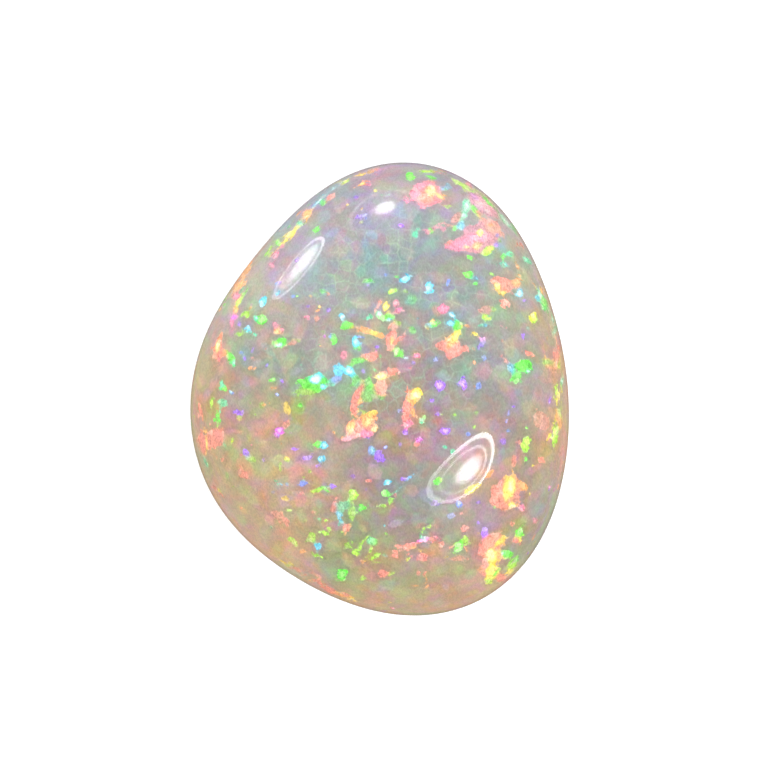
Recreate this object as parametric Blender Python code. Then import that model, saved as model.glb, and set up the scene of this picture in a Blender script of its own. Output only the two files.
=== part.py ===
"""A polished free-form opal: one solid stone with a domed face, a rounded girdle and a flat back.

The stone lies on its flat back. +Z is up through the dome and +Y runs along the stone to its
narrower end. The origin is on the resting plane, under the middle of the outline.
All sizes are in metres, and angles run anticlockwise from +X, seen from above.
"""

import math

import bmesh
import bpy
from mathutils import Vector

MM = 0.001

# The girdle is the widest outline of the stone. One radius for every 30 degrees, from +X.
GIRDLE_RADII_MM = (9.14, 9.38, 10.72, 10.87, 9.29, 8.71, 9.12, 9.58, 9.88, 10.81, 11.28, 10.07)
GIRDLE_RADII = [radius * MM for radius in GIRDLE_RADII_MM]
TOTAL_HEIGHT = 8.2 * MM
GIRDLE_HEIGHT = 2.1 * MM  # from the resting plane up to the girdle
BACK_SHARE = 0.84  # the flat back's outline as a share of the girdle's

# The dome's section is a superellipse: 2 is an ellipse, and more is fuller at the shoulder.
SHOULDER_FULLNESS = 2.25
CROWN_FULLNESS = 2.1

# The highest point isn't over the middle of the outline, and the contours get rounder near it.
APEX_SHIFT = Vector((-0.35 * MM, 0.30 * MM, 0.0))
CONTOUR_FADE = 0.45

# Polishing by hand leaves the dome very slightly wavy.
WAVE_HEIGHT = 0.05 * MM
WAVE_LENGTH = 9.0 * MM
WAVE_LEAN = 0.4  # how far one wave leans towards +Y
CROSS_WAVE = 0.8  # the other wave's count against the first's

SIDES = 96  # points around each ring
DOME_RINGS = 20
BELLY_RINGS = 6
OUTLINE_STEPS = 720  # points at which the outline's extent is measured
TINY = 1e-9

OPAL_COLOUR = (0.56, 0.49, 0.39, 1.0)
OPAL_ROUGHNESS = 0.06
OPAL_IOR = 1.45


def clear_scene():
    """Remove what the start-up scene holds."""
    for old in list(bpy.data.objects):
        bpy.data.objects.remove(old, do_unlink=True)


def smooth_radius(angle):
    """The girdle's radius at an angle, on the smoothest wave through all the radii in the list."""
    count = len(GIRDLE_RADII)
    total = 0.0
    for index, radius in enumerate(GIRDLE_RADII):
        away = angle - math.tau * index / count
        if abs(math.sin(away / 2)) < TINY:
            return radius
        total += radius * math.sin(count * away / 2) / (count * math.tan(away / 2))
    return total


def outline_middle():
    """The middle of the outline's bounding box, which goes over the origin."""
    angles = [math.tau * step / OUTLINE_STEPS for step in range(OUTLINE_STEPS)]
    xs = [smooth_radius(a) * math.cos(a) for a in angles]
    ys = [smooth_radius(a) * math.sin(a) for a in angles]
    return Vector(((min(xs) + max(xs)) / 2, (min(ys) + max(ys)) / 2, 0.0))


def contour_point(angle, share, height, middle):
    """A point of the contour that has this share of the girdle's size, at this height."""
    mean_radius = sum(GIRDLE_RADII) / len(GIRDLE_RADII)
    shape = share**CONTOUR_FADE
    radius = share * (mean_radius + (smooth_radius(angle) - mean_radius) * shape)
    across = Vector((radius * math.cos(angle), radius * math.sin(angle), 0.0))
    return across - middle + APEX_SHIFT * (1 - share) + Vector((0.0, 0.0, height))


def polish_wave(point):
    """How far the polished dome stands above or below its even shape."""
    turn = math.tau / WAVE_LENGTH
    first = math.sin(turn * (point.x + WAVE_LEAN * point.y))
    second = math.cos(turn * CROSS_WAVE * point.y)
    return WAVE_HEIGHT * first * second


def dome_ring(step, middle):
    """Ring 0 is the girdle, and each later ring is higher on the dome."""
    rise = math.radians(90) * step / DOME_RINGS
    share = math.cos(rise) ** (2 / SHOULDER_FULLNESS)
    lift = math.sin(rise) ** (2 / CROWN_FULLNESS)
    height = GIRDLE_HEIGHT + (TOTAL_HEIGHT - GIRDLE_HEIGHT) * lift
    ring = []
    for side in range(SIDES):
        point = contour_point(math.tau * side / SIDES, share, height, middle)
        point.z += polish_wave(point) * lift * (1 - lift)
        ring.append(point)
    return ring


def belly_ring(step, middle):
    """The last ring is the edge of the flat back, and each earlier one is nearer the girdle."""
    drop = math.radians(90) * step / BELLY_RINGS
    share = BACK_SHARE + (1 - BACK_SHARE) * math.cos(drop)
    height = GIRDLE_HEIGHT * (1 - math.sin(drop))
    return [contour_point(math.tau * side / SIDES, share, height, middle) for side in range(SIDES)]


def join_rings(mesh, lower, upper):
    """Quads between two rings of vertices, facing outwards."""
    for side in range(SIDES):
        after = (side + 1) % SIDES
        mesh.faces.new((lower[side], lower[after], upper[after], upper[side]))


def stone_mesh():
    """The stone's closed surface, built ring by ring from the flat back up to the top of the dome."""
    middle = outline_middle()
    rings = [belly_ring(step, middle) for step in range(BELLY_RINGS, 0, -1)]
    rings += [dome_ring(step, middle) for step in range(DOME_RINGS)]

    mesh = bmesh.new()
    loops = [[mesh.verts.new(point) for point in ring] for ring in rings]
    for lower, upper in zip(loops, loops[1:]):
        join_rings(mesh, lower, upper)

    apex = mesh.verts.new(APEX_SHIFT - middle + Vector((0.0, 0.0, TOTAL_HEIGHT)))
    top = loops[-1]
    for side in range(SIDES):
        mesh.faces.new((top[side], top[(side + 1) % SIDES], apex))
    mesh.faces.new(list(reversed(loops[0])))

    bmesh.ops.recalc_face_normals(mesh, faces=mesh.faces)
    bmesh.ops.triangulate(mesh, faces=mesh.faces)
    data = bpy.data.meshes.new("opal")
    mesh.to_mesh(data)
    mesh.free()
    return data


def opal_material():
    """Milky opal, polished, before its play of colour."""
    material = bpy.data.materials.new("polished_opal")
    material.use_nodes = True
    shader = material.node_tree.nodes["Principled BSDF"]
    shader.inputs["Base Color"].default_value = OPAL_COLOUR
    shader.inputs["Roughness"].default_value = OPAL_ROUGHNESS
    shader.inputs["Metallic"].default_value = 0.0
    shader.inputs["IOR"].default_value = OPAL_IOR
    return material


def build():
    clear_scene()
    stone = bpy.data.objects.new("opal", stone_mesh())
    bpy.context.scene.collection.objects.link(stone)
    stone.data.materials.append(opal_material())
    stone.data.shade_smooth()
    stone.data.set_sharp_from_angle(angle=math.radians(30))


build()
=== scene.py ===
# %% [markdown]
# A polished free-form opal, seen from above. The real object is one natural stone, cut with a domed face, a
# rounded girdle and a flat back. It is milky but lets light in, and small patches of pure spectral colour,
# its fire, lie in and under the face. The script dresses a finished solid, so it starts by loading that
# solid as a fixed frame.

# %% Load the solid that the looks are built around
import math

import bmesh
import bpy
import numpy as np
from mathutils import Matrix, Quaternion, Vector
from mathutils.noise import noise_vector, seed_set


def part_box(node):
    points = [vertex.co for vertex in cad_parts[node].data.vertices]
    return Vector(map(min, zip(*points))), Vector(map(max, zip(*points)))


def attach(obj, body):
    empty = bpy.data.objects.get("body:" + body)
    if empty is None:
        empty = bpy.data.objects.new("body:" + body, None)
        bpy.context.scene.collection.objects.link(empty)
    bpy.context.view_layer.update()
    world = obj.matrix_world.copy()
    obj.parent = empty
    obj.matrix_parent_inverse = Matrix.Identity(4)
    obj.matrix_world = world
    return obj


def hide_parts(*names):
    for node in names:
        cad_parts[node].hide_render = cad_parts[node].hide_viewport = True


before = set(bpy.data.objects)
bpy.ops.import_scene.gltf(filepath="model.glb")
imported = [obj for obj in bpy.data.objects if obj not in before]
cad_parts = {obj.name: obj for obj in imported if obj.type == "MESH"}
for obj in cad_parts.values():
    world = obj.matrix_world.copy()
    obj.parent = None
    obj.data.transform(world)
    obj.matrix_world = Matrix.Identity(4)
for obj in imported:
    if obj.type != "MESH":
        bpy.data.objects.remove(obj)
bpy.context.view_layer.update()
MM = 0.001
stone_low, stone_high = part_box("opal")
print("solid, in mm:", [round(side / MM, 2) for side in stone_high - stone_low])

# %% [markdown]
# The photograph looks straight down on the stone from far away, so a long lens is right here.
# The picture is square, so its width alone says how far away the camera stands.
# The stone isn't quite in the middle of the picture, and moving the camera sideways gives the same framing
# as turning it would, without tilting the view.

# %% Camera
PICTURE_SIDE = 768  # pixels
STONE_LENGTH_IN_PICTURE = 452.4  # pixels
STONE_MIDDLE_IN_PICTURE = (379.7, 389.0)  # pixels, from the left and from the top
LENS = 150.0  # millimetres, as cameras give it
SENSOR = 36.0
CLIP = (0.01, 10.0)  # metres, the nearest and the farthest that it sees
GIRDLE_HEIGHT = 2.1 * MM

pixel = (stone_high.y - stone_low.y) / STONE_LENGTH_IN_PICTURE
camera_data = bpy.data.cameras.new("camera")
camera_data.lens = LENS
camera_data.sensor_width = SENSOR
camera_data.clip_start, camera_data.clip_end = CLIP
camera = bpy.data.objects.new("camera", camera_data)
bpy.context.scene.collection.objects.link(camera)
camera.location = (
    (PICTURE_SIDE / 2 - STONE_MIDDLE_IN_PICTURE[0]) * pixel,
    (STONE_MIDDLE_IN_PICTURE[1] - PICTURE_SIDE / 2) * pixel,
    GIRDLE_HEIGHT + PICTURE_SIDE * pixel * LENS / SENSOR,
)
bpy.context.scene.camera = camera
print("camera height, in mm:", round(camera.location.z / MM, 1))

# %% [markdown]
# Every material and every Geometry Nodes tree below is built from the same few helpers. Writing trees in
# code keeps them readable: one line for each step, and the lines run in the order of the work.

# %% Helpers that build node trees
NODES_IN_A_ROW = 10
NODE_STEP = (220, -320)  # from one node to the next in the editor, and from one row to the next


def add_node(tree, kind, fill=None, **settings):
    """Add a node. Settings are its own options, and fill gives inputs a value or another node's output."""
    made = tree.nodes.new(kind)
    count = len(tree.nodes) - 1
    row, column = divmod(count, NODES_IN_A_ROW)
    made.location = (NODE_STEP[0] * column, NODE_STEP[1] * row)
    for name, value in settings.items():
        setattr(made, name, value)
    for name, value in (fill or {}).items():
        plug(tree, made.inputs[name], value)
    return made


def plug(tree, socket, value):
    """Link an output into an input, or set the input to a plain value."""
    if isinstance(value, bpy.types.NodeSocket):
        tree.links.new(value, socket)
    else:
        socket.default_value = value


def calc(tree, operation, *values, clamp=False):
    """One step of arithmetic on numbers."""
    made = add_node(tree, "ShaderNodeMath", operation=operation, use_clamp=clamp)
    for socket, value in zip(made.inputs, values):
        plug(tree, socket, value)
    return made.outputs[0]


def plus(tree, total, *others):
    """Add up all the numbers."""
    for other in others:
        total = calc(tree, "ADD", total, other)
    return total


def minus(tree, first, second):
    """Take the second number away from the first."""
    return calc(tree, "SUBTRACT", first, second)


def times(tree, product, *others):
    """Multiply all the numbers."""
    for other in others:
        product = calc(tree, "MULTIPLY", product, other)
    return product


def move(tree, operation, *values):
    """One step of arithmetic on vectors. The last value of SCALE is its number."""
    made = add_node(tree, "ShaderNodeVectorMath", operation=operation)
    names = ("Vector", "Scale") if operation == "SCALE" else (0, 1, 2)
    for name, value in zip(names, values):
        plug(tree, made.inputs[name], value)
    return made.outputs["Value" if operation in ("LENGTH", "DOT_PRODUCT", "DISTANCE") else "Vector"]


def split(tree, vector):
    """The parts of a vector, under the names X, Y and Z."""
    return add_node(tree, "ShaderNodeSeparateXYZ", {0: vector}).outputs


def channels(tree, colour):
    """The three numbers of a colour. A random colour serves as three random numbers."""
    return add_node(tree, "ShaderNodeSeparateColor", {0: colour}).outputs


def attribute(tree, name, wanted="Fac"):
    """What the mesh keeps under this name."""
    return add_node(tree, "ShaderNodeAttribute", attribute_name=name).outputs[wanted]


def blend(tree, share, first, second, mode="MIX"):
    """Mix two colours."""
    made = add_node(tree, "ShaderNodeMix", data_type="RGBA", blend_type=mode)
    for name, value in (("Factor_Float", share), ("A_Color", first), ("B_Color", second)):
        plug(tree, next(s for s in made.inputs if s.identifier == name), value)
    return next(s for s in made.outputs if s.identifier == "Result_Color")


def fade(tree, value, start, end, low=0.0, high=1.0):
    """Turn a number that runs from start to end into one that runs smoothly from low to high."""
    ends = {"Value": value, "From Min": start, "From Max": end, "To Min": low, "To Max": high}
    return add_node(tree, "ShaderNodeMapRange", ends, interpolation_type="SMOOTHSTEP").outputs["Result"]


def light(red, green, blue):
    """A colour as a screen gives it, from 0 to 255, turned into the linear light that shaders work in."""
    parts = [part / 255 for part in (red, green, blue)]
    return tuple(p / 12.92 if p <= 0.04045 else ((p + 0.055) / 1.055) ** 2.4 for p in parts) + (1.0,)


print("helpers are ready")

# %% [markdown]
# The stone's shape follows a rule, so Geometry Nodes can make it. Its girdle is a smooth closed outline
# through twelve radii, and every contour of the dome is a smaller and rounder copy of it, along a
# superellipse. A sculpted lump would only come close, while the rule gives the solid's own surface with a
# finer mesh. First comes the outline, as a curve: the smoothest wave that passes through all twelve radii.

# %% The girdle's outline
GIRDLE_RADII = tuple(
    r * MM for r in (9.14, 9.38, 10.72, 10.87, 9.29, 8.71, 9.12, 9.58, 9.88, 10.81, 11.28, 10.07)
)
OUTLINE_STEPS = 720
TINY = 1e-9


def girdle_radius(angle):
    """The radius of the girdle at an angle, in metres."""
    count = len(GIRDLE_RADII)
    total = 0.0
    for index, radius in enumerate(GIRDLE_RADII):
        away = angle - math.tau * index / count
        if abs(math.sin(away / 2)) < TINY:
            return radius
        total += radius * math.sin(count * away / 2) / (count * math.tan(away / 2))
    return total


angles = [math.tau * step / OUTLINE_STEPS for step in range(OUTLINE_STEPS)]
outline_points = [
    Vector((girdle_radius(a) * math.cos(a), girdle_radius(a) * math.sin(a), 0.0)) for a in angles
]
outline_middle = Vector(
    [(min(p[i] for p in outline_points) + max(p[i] for p in outline_points)) / 2 for i in range(3)]
)
outline_data = bpy.data.curves.new("girdle_outline", "CURVE")
outline_data.dimensions = "3D"
spline = outline_data.splines.new("POLY")
spline.points.add(OUTLINE_STEPS - 1)
for point, place in zip(spline.points, outline_points):
    point.co = (*place, 1.0)
spline.use_cyclic_u = True
outline = bpy.data.objects.new("girdle_outline", outline_data)
bpy.context.scene.collection.objects.link(outline)
print("outline middle, in mm:", [round(part / MM, 2) for part in outline_middle])

# %% [markdown]
# Both trees below start and end in the same way: with named inputs, which the measures fill later, and with
# real geometry that wears its material.

# %% Start and end of a Geometry Nodes tree
def open_tree(name, inputs):
    """Start a Geometry Nodes tree with named inputs, and return it with its input and output nodes."""
    tree = bpy.data.node_groups.new(name, "GeometryNodeTree")
    tree.interface.new_socket("Geometry", in_out="OUTPUT", socket_type="NodeSocketGeometry")
    tree.interface.new_socket("Geometry", in_out="INPUT", socket_type="NodeSocketGeometry")
    for label, kind in inputs:
        tree.interface.new_socket(label, in_out="INPUT", socket_type=kind)
    given = add_node(tree, "NodeGroupInput").outputs
    return tree, given, add_node(tree, "NodeGroupOutput")


def close_tree(tree, shape, given, result):
    """End a tree with real geometry that wears the material it was given."""
    whole = add_node(tree, "GeometryNodeRealizeInstances", {"Geometry": shape})
    wearing = {"Geometry": whole.outputs[0], "Material": given["Material"]}
    plug(tree, result.inputs["Geometry"], add_node(tree, "GeometryNodeSetMaterial", wearing).outputs[0])
    return tree


print("trees can be opened and closed")

# %% [markdown]
# The stone's tree starts from a flat grid. Its columns become angles around the stone, and its rows climb
# from the middle of the flat back, around the belly to the girdle, and up the dome to the top. Merging the
# doubled points closes the seam and both poles, so the surface is watertight.

# %% Tree that turns a grid into the stone
CABOCHON_INPUTS = (
    ("Outline", "NodeSocketObject"),
    ("Middle", "NodeSocketVector"),
    ("Mean Radius", "NodeSocketFloat"),
    ("Girdle Height", "NodeSocketFloat"),
    ("Total Height", "NodeSocketFloat"),
    ("Back Share", "NodeSocketFloat"),
    ("Shoulder Fullness", "NodeSocketFloat"),
    ("Crown Fullness", "NodeSocketFloat"),
    ("Contour Fade", "NodeSocketFloat"),
    ("Apex Shift", "NodeSocketVector"),
    ("Wave Height", "NodeSocketFloat"),
    ("Wave Length", "NodeSocketFloat"),
    ("Wave Lean", "NodeSocketFloat"),
    ("Cross Wave", "NodeSocketFloat"),
    ("Sides", "NodeSocketInt"),
    ("Back Rings", "NodeSocketInt"),
    ("Belly Rings", "NodeSocketInt"),
    ("Dome Rings", "NodeSocketInt"),
    ("Material", "NodeSocketMaterial"),
)
MERGE = 0.001 * MM  # points nearer than this become one


def polish_wave(tree, given, across, lift):
    """How far the polished dome stands above or below its even shape."""
    turn = calc(tree, "DIVIDE", math.tau, given["Wave Length"])
    flat = split(tree, across)
    first = times(tree, turn, plus(tree, flat["X"], times(tree, flat["Y"], given["Wave Lean"])))
    second = times(tree, turn, times(tree, flat["Y"], given["Cross Wave"]))
    wave = times(tree, calc(tree, "SINE", first), calc(tree, "COSINE", second), given["Wave Height"])
    return times(tree, wave, times(tree, lift, minus(tree, 1.0, lift)))


def cabochon_tree():
    """Every point of the grid is put where the rule of the stone's shape says."""
    tree, given, result = open_tree("cabochon", CABOCHON_INPUTS)
    quarter = math.radians(90)
    rings = plus(tree, given["Back Rings"], given["Belly Rings"], given["Dome Rings"])
    grid_size = {
        "Size X": 1.0,
        "Size Y": 1.0,
        "Vertices X": plus(tree, given["Sides"], 1.0),
        "Vertices Y": plus(tree, rings, 1.0),
    }
    grid = add_node(tree, "GeometryNodeMeshGrid", grid_size)
    place = split(tree, add_node(tree, "GeometryNodeInputPosition").outputs[0])
    around = plus(tree, place["X"], 0.5)
    ring = times(tree, plus(tree, place["Y"], 0.5), rings)

    back = calc(tree, "DIVIDE", ring, given["Back Rings"], clamp=True)
    ring = minus(tree, ring, given["Back Rings"])
    belly = calc(tree, "DIVIDE", ring, given["Belly Rings"], clamp=True)
    ring = minus(tree, ring, given["Belly Rings"])
    dome = calc(tree, "DIVIDE", ring, given["Dome Rings"], clamp=True)
    drop = times(tree, minus(tree, 1.0, belly), quarter)
    rise = times(tree, dome, quarter)

    def rounded(wave, fullness):
        """A sine or cosine raised to the power that makes a superellipse."""
        positive = calc(tree, "MAXIMUM", calc(tree, wave, rise), 0.0)
        return calc(tree, "POWER", positive, calc(tree, "DIVIDE", 2.0, fullness))

    lift = rounded("SINE", given["Crown Fullness"])
    back_share = times(tree, given["Back Share"], back)
    belly_share = times(tree, minus(tree, 1.0, given["Back Share"]), calc(tree, "COSINE", drop))
    outward = plus(tree, back_share, calc(tree, "MAXIMUM", belly_share, 0.0))
    share = times(tree, outward, rounded("COSINE", given["Shoulder Fullness"]))
    belly_height = times(tree, given["Girdle Height"], minus(tree, 1.0, calc(tree, "SINE", drop)))
    dome_height = times(tree, minus(tree, given["Total Height"], given["Girdle Height"]), lift)

    shape = add_node(tree, "GeometryNodeObjectInfo", {"Object": given["Outline"]}, transform_space="ORIGINAL")
    on_curve = {"Curves": shape.outputs["Geometry"], "Factor": around}
    rim = add_node(tree, "GeometryNodeSampleCurve", on_curve, mode="FACTOR").outputs["Position"]
    circle = move(tree, "SCALE", move(tree, "NORMALIZE", rim), given["Mean Radius"])
    fading = calc(tree, "POWER", share, given["Contour Fade"])
    contour = move(tree, "ADD", circle, move(tree, "SCALE", move(tree, "SUBTRACT", rim, circle), fading))
    across = move(tree, "SUBTRACT", move(tree, "SCALE", contour, share), given["Middle"])
    across = move(tree, "ADD", across, move(tree, "SCALE", given["Apex Shift"], minus(tree, 1.0, share)))

    height = plus(tree, belly_height, dome_height, polish_wave(tree, given, across, lift))
    point = move(tree, "ADD", across, add_node(tree, "ShaderNodeCombineXYZ", {"Z": height}).outputs[0])
    stone = add_node(tree, "GeometryNodeSetPosition", {"Geometry": grid.outputs["Mesh"], "Position": point})
    closed = add_node(tree, "GeometryNodeMergeByDistance", {"Geometry": stone.outputs[0], "Distance": MERGE})
    smooth = add_node(tree, "GeometryNodeSetShadeSmooth", {"Geometry": closed.outputs[0]})
    return close_tree(tree, smooth.outputs[0], given, result)


stone_tree = cabochon_tree()
print("the cabochon tree has", len(stone_tree.nodes), "nodes")

# %% [markdown]
# A Geometry Nodes modifier is live: it would be worked out again by every program that opens the file.
# The result is therefore turned into a plain mesh, and the helper objects go.

# %% Make the stone's fine surface
STONE_MEASURES = {
    "Outline": outline,
    "Middle": outline_middle,
    "Mean Radius": sum(GIRDLE_RADII) / len(GIRDLE_RADII),
    "Girdle Height": GIRDLE_HEIGHT,
    "Total Height": 8.2 * MM,
    "Back Share": 0.84,
    "Shoulder Fullness": 2.25,
    "Crown Fullness": 2.1,
    "Contour Fade": 0.45,
    "Apex Shift": Vector((-0.35 * MM, 0.30 * MM, 0.0)),
    "Wave Height": 0.05 * MM,
    "Wave Length": 9.0 * MM,
    "Wave Lean": 0.4,
    "Cross Wave": 0.8,
    "Sides": 512,
    "Back Rings": 6,
    "Belly Rings": 16,
    "Dome Rings": 165,
}


def grow(name, tree, values, start=None):
    """Run a Geometry Nodes tree on an object and return what it makes as an object with a plain mesh."""
    source = bpy.data.objects.new(name + "_source", start or bpy.data.meshes.new(name + "_source"))
    bpy.context.scene.collection.objects.link(source)
    modifier = source.modifiers.new("make", "NODES")
    modifier.node_group = tree
    for socket in tree.interface.items_tree:
        if socket.in_out == "INPUT" and socket.name in values:
            modifier[socket.identifier] = values[socket.name]
    ready = source.evaluated_get(bpy.context.evaluated_depsgraph_get())
    mesh = bpy.data.meshes.new_from_object(ready)
    mesh.name = name
    source.modifiers.clear()
    bpy.data.objects.remove(source)
    made = bpy.data.objects.new(name, mesh)
    bpy.context.scene.collection.objects.link(made)
    return made


opal_material = bpy.data.materials.new("milky_opal")
stone = grow("polished_stone", stone_tree, {**STONE_MEASURES, "Material": opal_material})
bpy.data.objects.remove(outline)
check = bmesh.new()
check.from_mesh(stone.data)
open_edges = sum(not edge.is_manifold for edge in check.edges)
volume = round(check.calc_volume(signed=True) / MM**3, 1)
print("stone:", len(check.faces), "faces,", open_edges, "open edges, volume in cubic mm:", volume)
check.free()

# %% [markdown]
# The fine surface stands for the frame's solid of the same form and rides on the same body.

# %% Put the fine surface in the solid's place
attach(stone, "root")
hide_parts("opal")
print("fine surface, in mm:", [round(part / MM, 2) for part in stone.dimensions])

# %% [markdown]
# Opal's fire is light split by stacks of tiny spheres. Each patch shows one nearly pure colour, often with
# a paler and brighter middle. Two palettes hold the colours and their bright middles, in the order of the
# spectrum, so one number can stand for a colour anywhere on the stone. A common colour takes up more of the
# palette than a rare one, so that random numbers choose it more often.

# %% Palettes of the fire
FIRE_COLOURS = (  # name, how common it is, colour, colour of its bright middle
    ("violet", 9, (160, 108, 245), (238, 205, 255)),
    ("blue", 4, (125, 155, 248), (210, 228, 255)),
    ("cyan", 9, (92, 200, 232), (222, 254, 255)),
    ("mint", 6, (95, 218, 165), (208, 253, 232)),
    ("green", 16, (98, 222, 72), (198, 250, 162)),
    ("lime", 12, (160, 226, 72), (240, 252, 150)),
    ("yellow", 7, (248, 214, 84), (255, 243, 165)),
    ("orange", 11, (250, 166, 100), (255, 226, 155)),
    ("salmon", 15, (243, 141, 128), (255, 201, 172)),
    ("rose", 8, (238, 130, 160), (255, 198, 208)),
    ("magenta", 3, (226, 115, 222), (255, 200, 250)),
)
FIRE_TOTAL = sum(share for _, share, _, _ in FIRE_COLOURS)
HUE = {}
reached = 0
for name, share, _, _ in FIRE_COLOURS:
    HUE[name] = (reached + share / 2) / FIRE_TOTAL
    reached += share


def tint_ramp(tree, value, tints):
    """A ramp through a few tints, each with its place from 0 to 1 and its colour as a screen shows it."""
    made = add_node(tree, "ShaderNodeValToRGB", {"Fac": value})
    ramp = made.color_ramp
    while len(ramp.elements) < len(tints):
        ramp.elements.new(0.5)
    for element, (position, colour) in zip(ramp.elements, tints):
        element.position = position
        element.color = light(*colour)
    return made.outputs["Color"]


def palette(tree, hue, bright):
    """The fire's colour for a hue from 0 to 1, or with bright as 1 the colour of its bright middle."""
    return tint_ramp(tree, hue, [(HUE[name], tones[bright]) for name, _, *tones in FIRE_COLOURS])


print("fire colours:", ", ".join(f"{name} {HUE[name]:.2f}" for name in HUE))
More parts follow.
